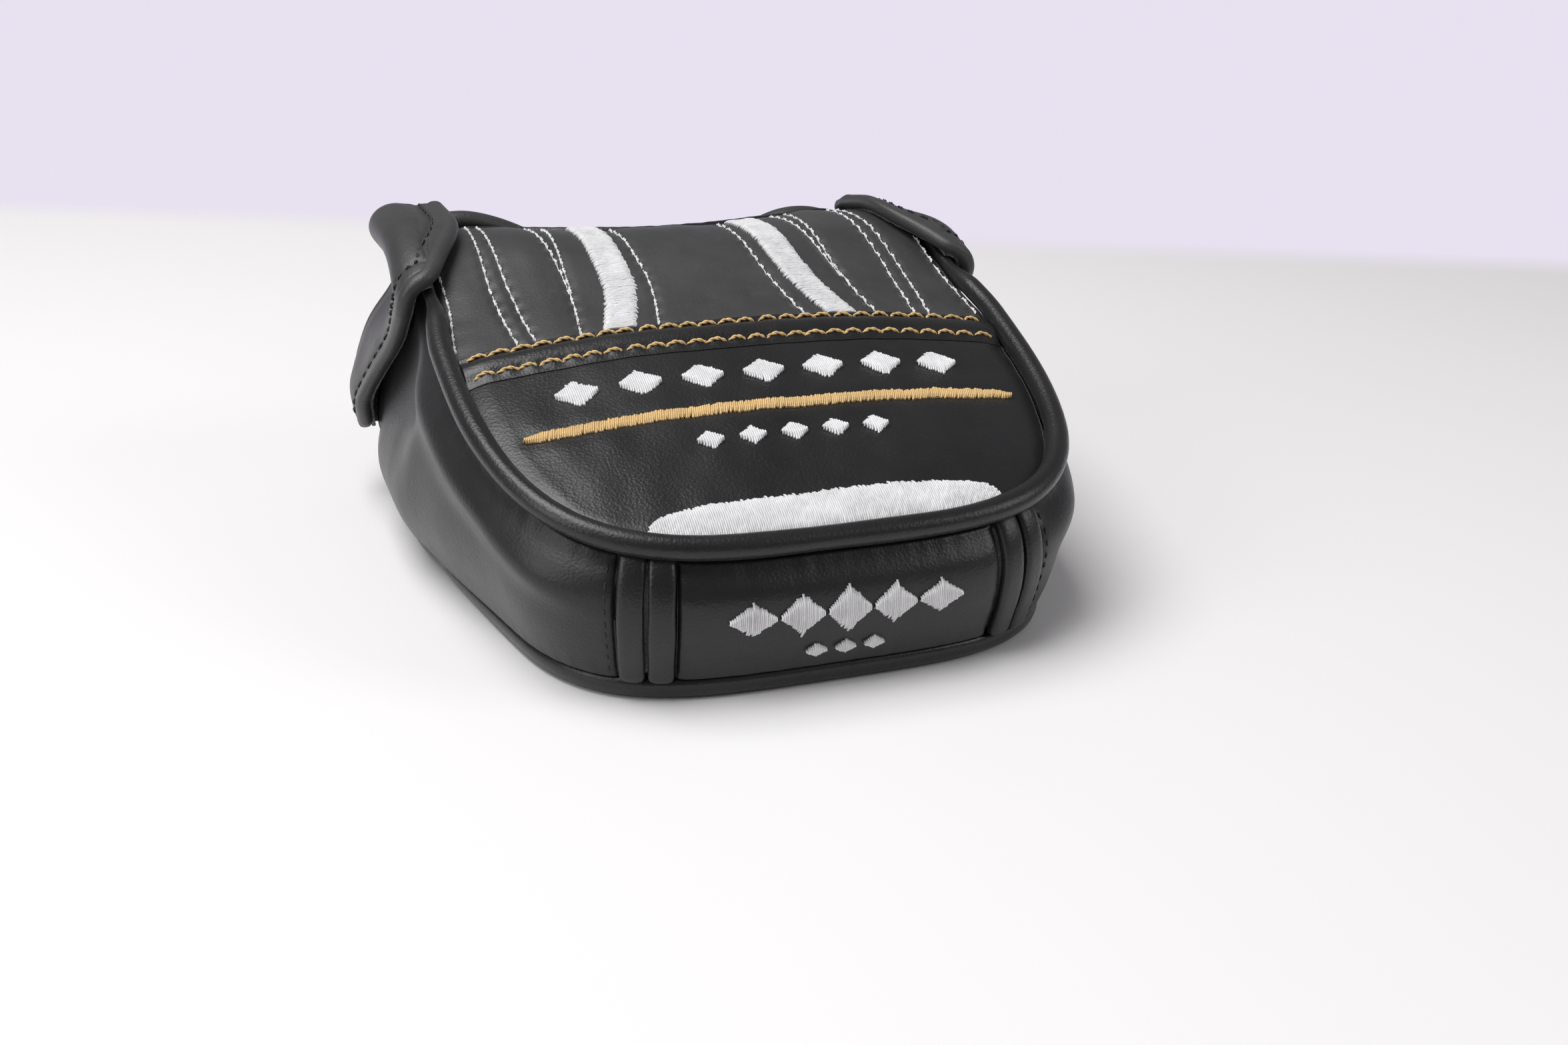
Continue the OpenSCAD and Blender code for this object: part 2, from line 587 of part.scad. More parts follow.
top_front_panel();
top_rear_panel();
top_foam();
top_lining();
band_strip();
band_stitching();
top_stitching();
stripe_left();
stripe_right();
gold_bar();
rear_crescent();
top_motif();
top_welt();
top_welt_cord();
gusset_left();
gusset_right();
rear_panel();
rear_motif();
strip_left_outer();
strip_left_inner();
strip_right_inner();
strip_right_outer();
gusset_foam_left();
gusset_foam_right();
rear_foam();
gusset_lining_left();
gusset_lining_right();
rear_lining();
gusset_magnet_left();
gusset_magnet_right();
sole_panel();
sole_board();
sole_lining();
mouth_binding();
hinge_strip();
flap_cover();
flap_board();
flap_lining();
flap_hem();
wing("left", "cover");  // wing_left_cover
wing("left", "interlining");  // wing_left_interlining
wing("left", "lining");  // wing_left_lining
wing("left", "hem");  // wing_left_hem
wing("left", "magnet");  // wing_left_magnet
wing("right", "cover");  // wing_right_cover
wing("right", "interlining");  // wing_right_interlining
wing("right", "lining");  // wing_right_lining
wing("right", "hem");  // wing_right_hem
wing("right", "magnet");  // wing_right_magnet
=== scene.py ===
import json
import math

import bpy
import numpy as np
from mathutils import Matrix, Vector


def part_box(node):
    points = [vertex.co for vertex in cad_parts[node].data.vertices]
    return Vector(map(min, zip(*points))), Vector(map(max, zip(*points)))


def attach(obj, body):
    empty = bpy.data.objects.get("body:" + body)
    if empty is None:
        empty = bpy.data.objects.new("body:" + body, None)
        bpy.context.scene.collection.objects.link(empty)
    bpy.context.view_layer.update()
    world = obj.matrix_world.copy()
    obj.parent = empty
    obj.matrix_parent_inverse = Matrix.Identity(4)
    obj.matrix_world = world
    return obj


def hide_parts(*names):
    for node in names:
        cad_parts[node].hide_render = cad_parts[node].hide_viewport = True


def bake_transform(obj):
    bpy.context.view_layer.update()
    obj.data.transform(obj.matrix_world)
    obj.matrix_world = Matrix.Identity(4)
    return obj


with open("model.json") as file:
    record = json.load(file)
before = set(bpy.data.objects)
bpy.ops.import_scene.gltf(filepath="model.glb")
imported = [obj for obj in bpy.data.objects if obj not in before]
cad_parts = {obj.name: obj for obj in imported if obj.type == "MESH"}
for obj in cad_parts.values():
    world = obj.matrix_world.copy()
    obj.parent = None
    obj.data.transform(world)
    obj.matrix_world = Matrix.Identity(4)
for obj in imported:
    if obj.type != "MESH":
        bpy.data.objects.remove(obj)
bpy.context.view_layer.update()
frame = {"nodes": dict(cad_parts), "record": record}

# ---- sizes, in millimetres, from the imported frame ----
JOINTS = {j["name"]: j for j in frame["record"]["behaviour"]["joints"]}
MM = 1000.0
FOLD_Y = 46.5            # the fold line of the flap, ahead of the widest station
SHIFT = JOINTS["flap_fold"]["pos_m"][1] * MM - FOLD_Y


def cad(node):
    """Lowest and highest corners of a CAD node, in mm, with y = 0 at the widest station."""
    low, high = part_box(node)
    return (np.array(low) * MM - [0, SHIFT, 0], np.array(high) * MM - [0, SHIFT, 0])


WELT_R, WELT_FRONT_R = 2.2, 1.2                     # radius of the welt at the rear and at the front
HALF_W = round(cad("top_welt")[1][0] - WELT_R, 1)
REAR_D = round(-cad("top_welt")[0][1] - WELT_R, 1)
MOUTH_Y, SEAM_Z = 41.5, 4.2                         # station of the mouth, height of the sole seam
CORNER_N, NECK_IN = 3.7, 1.6                        # squareness of the plan; how much each side necks in
REAR_H, SIDE_H, SIDE_Y = 27.0, 51.5, 4.0            # top seam: height at the rear and at station SIDE_Y
ROLL_Y, ROLL_C = 14.0, 0.012                        # where the top starts to roll over, and its curvature
SLOPE = (SIDE_H - REAR_H) / (REAR_D + SIDE_Y)
PEAK_Y = ROLL_Y + SLOPE / (2 * ROLL_C)
CROWN_REAR, CROWN_FRONT, SHOULDER = 4.5, 1.0, 5.0   # rise of the top above its seam
BULGE, FLARE, TUCK, STEP = 3.2, -3.0, -1.0, 2.2     # how the side wall leans and swells
SKIN_T, FOAM_T, LINING_T, GAP, LINING_GAP = 1.4, 3.0, 1.2, 0.2, 0.8
FOAM_D = SKIN_T + GAP                               # depth of the foam below the leather's face
LINING_D = FOAM_D + FOAM_T + LINING_GAP
WALL_T = LINING_D + LINING_T
SKIN_DROP = 1.2                                     # the side leather starts this far below the top seam
ARC = 0.74                                          # share of the outline, from the rear, that is curved
STRIPS = (0.188, 0.212, 0.217, 0.241)               # edges of the corner strips, as shares of the outline
SCOOP, SCOOP_HW = 8.0, 36.0                         # scoop in the front edge of the top
JOINT_Y, BAND_W, ROW_GAP = -19.0, 8.8, 5.6          # the lapped band and its two gold rows
WELT_TOP = 0.9                                      # the welt's underside is this far below the top seam
FLAP_Y, FLAP_HW, FLAP_DIP, DIP_HW = 45.3, 57.8, 15.0, 42.0
FOLD_Z, FLAP_TALL = 5.0, 50.0
WING_X, WING_CORNER = 58.2, 3.0                     # inner face of a wing, and its radius over the corner
WING_BACK_Y, WING_LOW_Y, WING_LOW_Z, EAR_X = 4.5, 40.0, 14.0, 46.0
WING_SKIN_O, WING_SKIN_T = 2.2, 1.5                 # where a wing's leather starts, and its thickness
WING_A, WING_B = 0.62, 0.80                         # shares of a wing's profile where its corner lies
WING_FRONT_Y = FLAP_Y - 0.3
HEM_R, HEM_HALF = 2.0, 1.9                          # radius of the flap's hem, half width of a wing's
STITCH = 4.0                                        # pitch of the gold stitches
WALL_SCALE = 190.0                                  # mm of side wall in one share of the outline
SIDES = (("left", -1), ("right", 1))


# ---- curves and surfaces, on arrays ----
def smooth(a, b, x):
    """From 0 at a to 1 at b; a may be the larger."""
    t = np.clip((np.asarray(x, float) - a) / (b - a), 0, 1)
    return t * t * (3 - 2 * t)


def mix(a, b, t):
    return a + (b - a) * t


def bump(centre, width, x):
    """A bell of height 1 at centre."""
    return np.exp(-(((np.asarray(x, float) - centre) / width) ** 2))


def lumps(x, y, size, seed, octaves=5):
    """Smooth irregular waves of about the given size, from -1 to 1."""
    rng = np.random.default_rng(seed)
    total = 0
    for _ in range(octaves):
        a = rng.uniform(0, 2 * math.pi)
        k = 2 * math.pi / size * rng.uniform(0.6, 1.5)
        total = total + np.sin(k * (x * math.cos(a) + y * math.sin(a)) + rng.uniform(0, 6.28))
    return total / octaves


def neck(y):
    """How much each side draws in at station y, towards the mouth."""
    return NECK_IN * smooth(-14, 4, y)


def half_x(y):
    """Half width of the outline at station y."""
    y = np.asarray(y, float)
    back = np.clip(-y, 0, REAR_D) / REAR_D
    return HALF_W * np.maximum(0, 1 - back ** CORNER_N) ** (1 / CORNER_N) - neck(y)


def inset_x(y, inset):
    """Half width at station y of the outline drawn in by inset."""
    back = np.clip(-y / (REAR_D - inset), 0, 1)
    return (HALF_W - inset) * (1 - back ** CORNER_N) ** (1 / CORNER_N) - neck(y)


def rear_row(inset):
    """Rearmost station of a panel drawn in by inset, just short of where its width ends."""
    return -(REAR_D - inset) * 0.9985


def rim(s):
    """Plan of the seam: s is -1 left of the mouth, 0 at the rear and 1 right of the mouth."""
    s = np.asarray(s, float)
    a = np.abs(s)
    p = np.radians(90 * (1 - np.minimum(a, ARC) / ARC))
    r = (np.abs(np.cos(p)) / HALF_W) ** CORNER_N + (np.abs(np.sin(p)) / REAR_D) ** CORNER_N
    r = r ** (-1 / CORNER_N)
    yc = -r * np.sin(p)
    yf = MOUTH_Y * (a - ARC) / (1 - ARC)
    y = np.where(a <= ARC, yc, yf)
    x = np.where(a <= ARC, r * np.cos(p), HALF_W) - neck(y)
    return np.stack([np.sign(s) * x, y], -1)


def outward(s):
    """Direction out of the outline, in plan."""
    d = rim(np.minimum(1, s + 0.004)) - rim(np.maximum(-1, s - 0.004))
    n = np.stack([d[..., 1], -d[..., 0]], -1)
    return n / np.linalg.norm(n, axis=-1, keepdims=True)


def seam_h(y):
    """Height of the top seam at station y."""
    return SIDE_H + SLOPE * (y - SIDE_Y) - ROLL_C * np.maximum(0, y - ROLL_Y) ** 2


def crown(q, y):
    """Rise of the top over its seam; q is 0 in the middle and 1 at the side."""
    back = CROWN_REAR * (1 - np.clip(-y / REAR_D, 0, 1) ** 4) * (1 - q ** 2.5)
    front = (CROWN_FRONT + SHOULDER * q * q) * (1 - q ** 6)
    return mix(back, front, smooth(-5, 40, y))


def top_z(x, y):
    q = np.minimum(1, np.abs(x) / np.maximum(1, half_x(y)))
    return seam_h(y) - 1 + crown(q, y)


def swell(s, t):
    """How far the side wall stands out at share t of its height, from the top."""
    y = rim(s)[..., 1]
    k = 1 - smooth(-12, 2.5, y)
    rear = np.maximum(0, -outward(s)[..., 1])
    lean = mix(FLARE, -TUCK, rear)
    return lean * t + k * BULGE * np.sin(np.pi * t ** 0.75) + (1 - k) * STEP * smooth(0, 0.12, t)


def wall(s, t, lift, drop=SKIN_DROP):
    """Side wall: t is 0 at the top seam and 1 at the sole seam; lift is measured outwards."""
    s, t = np.broadcast_arrays(np.asarray(s, float), np.asarray(t, float))
    p, n = rim(s), outward(s)
    z0 = seam_h(p[..., 1]) - SKIN_DROP
    z = mix(seam_h(p[..., 1]) - drop, SEAM_Z, t)
    o = swell(s, np.clip((z0 - z) / (z0 - SEAM_Z), 0, 1)) + lift
    return np.stack([p[..., 0] + n[..., 0] * o, p[..., 1] + n[..., 1] * o, z], -1)


def edge_y(x):
    """Station of the front edge of the top, which is scooped in the middle."""
    return MOUTH_Y - 0.5 - SCOOP * np.maximum(0, 1 - (x / SCOOP_HW) ** 2) ** 2


def settle(points):
    """The stuffed shape as it stands: both sides are drawn in below the ears, the left one more,
    and swell out low down towards the mouth."""
    x, y, z = points[..., 0], points[..., 1], points[..., 2]
    depth = np.where(x < 0, 5.6, 3.2)
    pull = depth * bump(47, 7.5, z) * smooth(10, 40, y) * smooth(36, 56, np.abs(x))
    swollen = smooth(-48, 6, y) * (1 - 0.36 * smooth(16, 38, y))
    push = np.where(x < 0, 10.5, 6.5) * swollen * bump(15, 17, z) * smooth(34, 54, np.abs(x))
    return np.stack([x + np.sign(x) * (push - pull), y, z], -1)


def drape(points, side):
    """How the flap's corners and the wings hang: the left ear stands, the right one lies down,
    and the flap narrows towards its fold."""
    left = side < 0
    x, y, z = points[..., 0] * side, points[..., 1], points[..., 2]
    tuck = 2.4 * smooth(25, 13, z) * smooth(50, 57, x)
    taper = 13 * smooth(30, 6, z) * smooth(0, 57, x) * smooth(44.2, 45.6, y)
    high = smooth(30, 58, z)
    sag = (0.6 if left else 3.0) * smooth(26, 46, y) * smooth(20, 48, x) * high
    sag = sag + (0.0 if left else 5.2) * smooth(46, 62, x) * smooth(10, 34, y) * high
    sag = sag + (0.0 if left else 1.8) * smooth(40.5, 46, y) * smooth(30, 50, x) * high
    shoulder = (0.0 if left else 2.6) * smooth(36, 50, z) * smooth(44, 58, x) * smooth(8, 30, y)
    return np.stack([(x - tuck - taper - shoulder) * side, y, z - sag], -1)


# ---- mesh tools ----
SHELL, FLAP = "shell", "face_flap"


def add_mesh(name, points, faces, material, body, slot, replaces=(), settled=False):
    """A piece that rides on a body, or, given (body, body, start, end), stays in place on no body."""
    points = np.asarray(points, float).reshape(-1, 3)
    points = points if settled else settle(points)
    mesh = bpy.data.meshes.new(name)
    faces = faces.tolist() if isinstance(faces, np.ndarray) else faces
    mesh.from_pydata(((points + [0, SHIFT, 0]) / MM).tolist(), [], faces)
    mesh.materials.append(material)
    mesh.polygons.foreach_set("use_smooth", [True] * len(mesh.polygons))
    mesh.validate()
    mesh.update()
    piece = bpy.data.objects.new(name, mesh)
    bpy.context.scene.collection.objects.link(piece)
    if isinstance(body, str):
        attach(piece, body)
    else:
        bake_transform(piece)
    if replaces:
        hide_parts(*replaces)
    return piece


def grid_faces(rows, cols, close_cols=False):
    i = np.arange(rows - 1)
    j = np.arange(cols if close_cols else cols - 1)
    i, j = np.meshgrid(i, j, indexing="ij")
    i1, j1 = i + 1, (j + 1) % cols
    quads = np.stack([i * cols + j, i1 * cols + j, i1 * cols + j1, i * cols + j1], -1)
    return quads.reshape(-1, 4)


def volume_sign(points, faces):
    p = points.reshape(-1, 3)
    a, b, c, d = (p[faces[:, k]] for k in range(4))
    v = np.einsum("ij,ij->i", a, np.cross(b, c)) + np.einsum("ij,ij->i", a, np.cross(c, d))
    return v.sum()


def closed_shell(outer, inner):
    """Points and faces of a closed solid between two grids of points of the same size."""
    rows, cols = outer.shape[:2]
    n = rows * cols
    top = grid_faces(rows, cols)
    under = top[:, ::-1] + n
    border = np.concatenate([
        np.arange(cols), np.arange(1, rows) * cols + cols - 1,
        (rows - 1) * cols + np.arange(cols - 2, -1, -1), np.arange(rows - 2, 0, -1) * cols])
    nxt = np.roll(border, -1)
    side = np.stack([border, nxt, nxt + n, border + n], -1)
    points = np.concatenate([outer.reshape(-1, 3), inner.reshape(-1, 3)])
    faces = np.concatenate([top, under, side])
    if volume_sign(points, faces) < 0:
        faces = faces[:, ::-1]
    return points, faces


def add_shell(name, outer, inner, *rest):
    """A piece that fills the space between two grids of points."""
    return add_mesh(name, *closed_shell(outer, inner), *rest)


def spaced(n, ends=0.5):
    """n + 1 numbers from 0 to 1, closer together towards both ends."""
    t = np.linspace(0, 1, n + 1)
    return mix(t, 0.5 - 0.5 * np.cos(np.pi * t), ends)


def uv(nu, nv, ends=0.5):
    return np.meshgrid(spaced(nu, ends), spaced(nv, ends), indexing="ij")


def edge_round(u, v, width_u, width_v, r):
    """From 0 at the border of a panel to 1 at r mm inside it, along a quarter circle."""
    du = np.minimum(u, 1 - u) * width_u
    dv = np.minimum(v, 1 - v) * width_v
    e = np.clip(np.minimum(du, dv) / r, 0, 1)
    return np.sqrt(np.clip(1 - (1 - e) ** 2, 0.02, 1))


def unit(v):
    return v / np.maximum(1e-9, np.linalg.norm(v, axis=-1, keepdims=True))


def closed_tube(rings, path):
    """Points and faces of a tube through rings of points, closed by a fan at each end of its path."""
    n, sides = rings.shape[:2]
    points = np.concatenate([rings.reshape(-1, 3), path[:1], path[-1:]])
    body = grid_faces(n, sides, close_cols=True)
    j = np.arange(sides)
    k = (j + 1) % sides
    last = (n - 1) * sides
    caps = np.concatenate([np.stack([j, k, np.full(sides, n * sides)], -1),
                           np.stack([last + k, last + j, np.full(sides, n * sides + 1)], -1)])
    if volume_sign(points, body) < 0:
        body, caps = body[:, ::-1], caps[:, ::-1]
    return points, body.tolist() + caps.tolist()


def tube(path, side, ru, rv, sides=16, squash=1.0):
    """Closed tube along a path. side lies across the path; ru is its half width that way."""
    t = unit(np.gradient(path, axis=0))
    v = unit(np.cross(t, side))
    u = unit(np.cross(v, t))
    a = np.linspace(0, 2 * np.pi, sides, endpoint=False)
    ru, rv = np.broadcast_to(ru, len(path)), np.broadcast_to(rv, len(path))
    c, s = np.cos(a), np.sin(a)
    c = np.sign(c) * np.abs(c) ** squash
    s = np.sign(s) * np.abs(s) ** squash
    rings = (path[:, None] + u[:, None] * (ru[:, None] * c)[..., None]
             + v[:, None] * (rv[:, None] * s)[..., None])
    return closed_tube(rings, path)


def smooth_path(path, width, **ends):
    """A path averaged over width points; ends says how numpy carries it on past its ends."""
    kernel = np.hanning(width + 2)[1:-1]
    kernel = kernel / kernel.sum()
    longer = np.pad(path, ((width // 2, width // 2), (0, 0)), **ends)
    return np.stack([np.convolve(line, kernel, mode="valid") for line in longer.T], -1)


def join(solids):
    points, faces, first = [], [], 0
    for p, f in solids:
        points.append(p)
        faces += [[k + first for k in face] for face in f]
        first += len(p)
    return np.concatenate(points), faces


def strands(path, across, up, radius_u, radius_v, sides=6):
    """Many short closed threads at once: path is (threads, points, 3)."""
    n, m = path.shape[:2]
    a = np.linspace(0, 2 * np.pi, sides, endpoint=False)
    ru = np.broadcast_to(radius_u, (n, m))[..., None, None]
    rv = np.broadcast_to(radius_v, (n, m))[..., None, None]
    ring = (path[:, :, None] + across[:, :, None] * ru * np.cos(a)[:, None]
            + up[:, :, None] * rv * np.sin(a)[:, None])
    base = (np.arange(n) * m * sides)[:, None, None]
    body = (grid_faces(m, sides, close_cols=True)[None] + base).reshape(-1, 4)
    start = np.arange(sides)[None] + base[:, 0]
    end = start + (m - 1) * sides
    faces = body.tolist() + start[:, ::-1].tolist() + end.tolist()
    return ring.reshape(-1, 3), faces


# ---- materials ----
def new_material(name):
    material = bpy.data.materials.new(name)
    material.use_nodes = True
    tree = material.node_tree
    return material, tree, tree.nodes["Principled BSDF"]


def feed(tree, node, inputs):
    """Link or set inputs of a node, each known by its name or number."""
    for key, value in inputs.items():
        if hasattr(value, "is_output"):
            tree.links.new(value, node.inputs[key])
        else:
            node.inputs[key].default_value = value
    return node


def add_node(tree, kind, inputs):
    return feed(tree, tree.nodes.new(kind), inputs)


def mm_coordinates(tree):
    """Object coordinates in millimetres."""
    scaled = tree.nodes.new("ShaderNodeVectorMath")
    scaled.operation = "SCALE"
    coords = tree.nodes.new("ShaderNodeTexCoord")
    return feed(tree, scaled, {0: coords.outputs["Object"], "Scale": MM}).outputs[0]


def noise(tree, at, scale, detail, roughness):
    return add_node(tree, "ShaderNodeTexNoise", {"Vector": at, "Scale": scale, "Detail": detail,
                                                 "Roughness": roughness}).outputs["Fac"]


def voronoi(tree, at, scale):
    return add_node(tree, "ShaderNodeTexVoronoi", {"Vector": at, "Scale": scale})


def ramp(tree, fac, low, high, out_low=0.0, out_high=1.0):
    return add_node(tree, "ShaderNodeMapRange", {"Value": fac, "From Min": low, "From Max": high,
                                                 "To Min": out_low, "To Max": out_high}).outputs["Result"]


def blend_colours(tree, fac, a, b):
    """Mix of two colours, each one three numbers or another node's output."""
    node = tree.nodes.new("ShaderNodeMix")
    node.data_type = "RGBA"
    a, b = (c if hasattr(c, "is_output") else (*c, 1) for c in (a, b))
    return feed(tree, node, {0: fac, 6: a, 7: b}).outputs[2]


def math_node(tree, operation, a, b):
    node = tree.nodes.new("ShaderNodeMath")
    node.operation = operation
    return feed(tree, node, {0: a, 1: b}).outputs[0]


def bumped(tree, height, strength, distance):
    return add_node(tree, "ShaderNodeBump", {"Height": height, "Strength": strength,
                                             "Distance": distance}).outputs["Normal"]


def tint(colour, factor, more=0.0):
    return tuple(c * factor + more for c in colour)


PEBBLE = 0.55            # size of the leather's grain


def leather(name, colour, roughness, grain, coat):
    """Fine-grain synthetic leather: pebbled cells, pores, uneven gloss, scuffs and paler handled areas."""
    material, tree, shader = new_material(name)
    at = mm_coordinates(tree)
    cells = voronoi(tree, at, 1 / PEBBLE)
    cells.feature = "SMOOTH_F1"
    cells.inputs["Smoothness"].default_value = 0.35
    fine = noise(tree, at, 3.2, 4.0, 0.6)
    broad = noise(tree, at, 0.06, 3.0, 0.55)
    worn = ramp(tree, noise(tree, at, 0.35, 6.0, 0.7), 0.56, 0.74, 0.0, 0.45)
    height = math_node(tree, "ADD", math_node(tree, "MULTIPLY", cells.outputs["Distance"], 0.7),
                       math_node(tree, "MULTIPLY", fine, 0.5))
    base = blend_colours(tree, ramp(tree, broad, 0.3, 0.7), tint(colour, 0.84), tint(colour, 1.2))
    rough = math_node(tree, "ADD", ramp(tree, broad, 0.3, 0.7, roughness - 0.045, roughness + 0.045),
                      ramp(tree, fine, 0.3, 0.7, -0.03, 0.05))
    feed(tree, shader, {"Base Color": blend_colours(tree, worn, base, tint(colour, 1.55, 0.004)),
                        "Roughness": rough, "Normal": bumped(tree, height, grain, 0.00016),
                        "Specular IOR Level": 0.4, "Coat Weight": coat, "Coat Roughness": 0.3,
                        "Sheen Weight": 0.04, "Sheen Roughness": 0.5})
    return material


def thread(name, colour, roughness=0.42, sheen=0.25):
    """Polyester embroidery thread: fine filaments, silky gloss and slight soiling."""
    material, tree, shader = new_material(name)
    at = mm_coordinates(tree)
    fibres = noise(tree, at, 9.0, 5.0, 0.7)
    soil = ramp(tree, noise(tree, at, 0.25, 4.0, 0.6), 0.35, 0.7)
    feed(tree, shader, {"Base Color": blend_colours(tree, soil, colour, tint(colour, 0.8)),
                        "Roughness": ramp(tree, fibres, 0.3, 0.7, roughness - 0.08, roughness + 0.1),
                        "Normal": bumped(tree, fibres, 0.5, 0.00008), "Sheen Weight": sheen,
                        "Sheen Roughness": 0.4})
    return material


def plush(name, colour):
    """Short-pile plush lining: tufts of pile, rough and with a strong sheen."""
    material, tree, shader = new_material(name)
    at = mm_coordinates(tree)
    pile = noise(tree, at, 2.4, 6.0, 0.75)
    nap = noise(tree, at, 0.09, 3.0, 0.5)
    tufts = voronoi(tree, at, 1.1).outputs["Distance"]
    height = math_node(tree, "SUBTRACT", pile, math_node(tree, "MULTIPLY", tufts, 0.6))
    shade = math_node(tree, "ADD", math_node(tree, "MULTIPLY", nap, 0.6),
                      math_node(tree, "MULTIPLY", pile, 0.4))
    base = blend_colours(tree, ramp(tree, shade, 0.35, 0.65), tint(colour, 0.65), tint(colour, 1.35))
    feed(tree, shader, {"Base Color": base, "Roughness": ramp(tree, pile, 0.2, 0.8, 0.85, 1.0),
                        "Normal": bumped(tree, height, 0.9, 0.0006), "Sheen Weight": 0.8,
                        "Sheen Roughness": 0.35})
    return material


def porous(name, colour, scale, roughness, metallic=0.0, depth=0.0003):
    """Foam, board, filler cord or plated steel: a speckled surface at the given scale."""
    material, tree, shader = new_material(name)
    at = mm_coordinates(tree)
    speck = voronoi(tree, at, scale).outputs["Distance"]
    cloud = noise(tree, at, scale * 0.3, 5.0, 0.6)
    feed(tree, shader, {"Base Color": blend_colours(tree, cloud, tint(colour, 0.75), tint(colour, 1.2)),
                        "Roughness": ramp(tree, cloud, 0.3, 0.7, roughness - 0.08, roughness + 0.08),
                        "Normal": bumped(tree, speck, 0.6, depth), "Metallic": metallic})
    return material


BLACK = leather("black_leather", (0.0085, 0.0085, 0.0092), 0.33, 0.40, coat=0.12)
GREY = leather("grey_leather", (0.037, 0.037, 0.038), 0.43, 0.34, coat=0.02)
SOFT = leather("soft_leather", (0.0098, 0.0098, 0.0105), 0.38, 0.34, coat=0.02)
WHITE_THREAD = thread("white_thread", (0.76, 0.755, 0.765))
GOLD_THREAD = thread("gold_thread", (0.74, 0.50, 0.21), 0.38, 0.15)
DARK_THREAD = thread("dark_thread", (0.012, 0.012, 0.013), 0.5, 0.1)
PLUSH = plush("plush_lining", (0.055, 0.055, 0.06))
FOAM = porous("foam_padding", (0.3, 0.3, 0.31), 2.2, 0.9)
STEEL = porous("plated_steel", (0.6, 0.6, 0.61), 1.5, 0.28, metallic=1.0, depth=0.00003)
BOARD = porous("fibre_board", (0.35, 0.32, 0.27), 3.0, 0.85, depth=0.0001)
CORD = porous("filler_cord", (0.7, 0.7, 0.7), 1.2, 0.6, depth=0.00008)


# ---- the top ----
ROW_Y0 = JOINT_Y + BAND_W / 2 + 0.6
KINK = 0.28                                         # where along a white row it turns
CREST_Y = 38.5
# Plan of each white row: x at the joint, at the kink and at the crest
ROWS = ((42.6, 44.0, 42.5), (39.2, 40.5, 40.0), (30.6, 28.7, 29.8), (15.2, 12.4, 12.2))
BRANCH, BRANCH_X = (28.7, 26.0), 28.0               # the short row that leaves the third one at its kink
STRIPE, STRIPE_W = (23.0, 18.8, 18.0), 6.6
WELT_ROW = (-12.5, 17.0)                            # first and last station of the row beside the welt
GOLD_Y = (JOINT_Y + ROW_GAP / 2, JOINT_Y - ROW_GAP / 2)
BAR_Y, BAR_HW, BAR_W = -40.5, 48.0, 2.1
CRESCENT_HW, CRESCENT_W = 33.0, 7.0


def reach_back(x):
    """How far behind the widest station the plain outline lies at x."""
    return REAR_D * (1 - (np.abs(x) / HALF_W) ** CORNER_N) ** (1 / CORNER_N)
def row_x(row, q):
    a, b, c = row
    line = np.where(q < KINK, mix(a, b, q / KINK), mix(b, c, (q - KINK) / (1 - KINK)))
    soft = 0.35 * bump(KINK, 0.07, q) * np.sign((c - b) / (1 - KINK) - (b - a) / KINK)
    return line + soft


def row_end(x):
    return np.minimum(CREST_Y, edge_y(x) - 1.5)


def row_q(y, x_end):
    return np.clip((y - ROW_Y0) / (row_end(x_end) - ROW_Y0), 0, 1)


def relief(x, y):
    """Height of the leather over the plain crowned top: grooves under the rows, puckers and lumps."""
    ax = np.abs(x)
    front = smooth(ROW_Y0 - 1.5, ROW_Y0, y)
    z = 0.22 * lumps(x, y, 26, 3) + 0.10 * lumps(x, y, 11, 4)
    for row in ROWS + (STRIPE,):
        d = ax - row_x(row, row_q(y, row[2]))
        if row is STRIPE:
            z = z - front * (0.35 * bump(0, STRIPE_W / 2 + 0.5, d))
        else:
            z = z - front * ((0.42 + 0.16 * np.cos(2 * np.pi * (y - ROW_Y0) / STITCH)) * bump(0, 1.0, d))
    branch_q = row_q(y, BRANCH_X)
    branch = mix(*BRANCH, np.clip((branch_q - KINK) / (1 - KINK), 0, 1))
    z = z - front * smooth(0.26, 0.32, branch_q) * 0.38 * bump(0, 1.0, ax - branch)
    # pillows between the quilting rows
    z = z + front * (0.35 * bump(34.5, 3.0, ax) + 0.45 * bump(0, 9.0, ax) + 0.25 * bump(49.5, 3.5, ax))
    # the lapped band between its two rows of gold thread
    hole = 0.5 + 0.5 * np.cos(2 * np.pi * x / STITCH)
    for gold_y in GOLD_Y:
        z = z - (0.42 + 0.2 * hole) * bump(0, 0.85, y - gold_y)
    z = z + 0.45 * bump(JOINT_Y, 1.9, y)
    # the seam beside the welt draws the leather down in short puckers
    edge = np.minimum(half_x(y) - ax, reach_back(x) + y)
    along = np.arctan2(y + 15, x) * 60
    z = z + 0.10 * lumps(along, 0 * along, 5.5, 8, 4) * bump(2.5, 4.0, edge)
    z = z + 0.9 * smooth(0.5, 6.5, edge) * (1 - smooth(-30, 0, y))
    # embroidery pulls the leather in around itself
    z = z - 0.25 * bump(BAR_Y, 2.2, y) * smooth(BAR_HW + 3, BAR_HW - 2, ax)
    z = z - 0.22 * bump(-31, 5.0, y) * smooth(44, 38, ax) - 0.2 * bump(-48, 3.6, y) * smooth(22, 18, ax)
    z = z + 0.12 * lumps(x * 1.0, y * 0.35, 7.0, 12, 5) * bump(-40, 13, y) * smooth(56, 46, ax)
    return z


def top_at(x, y, lift):
    x, y = np.broadcast_arrays(np.asarray(x, float), np.asarray(y, float))
    return np.stack([x, y, top_z(x, y) + lift], -1)


def leather_top(x, y, lift=0.0):
    return top_at(x, y, relief(x, y) + lift)


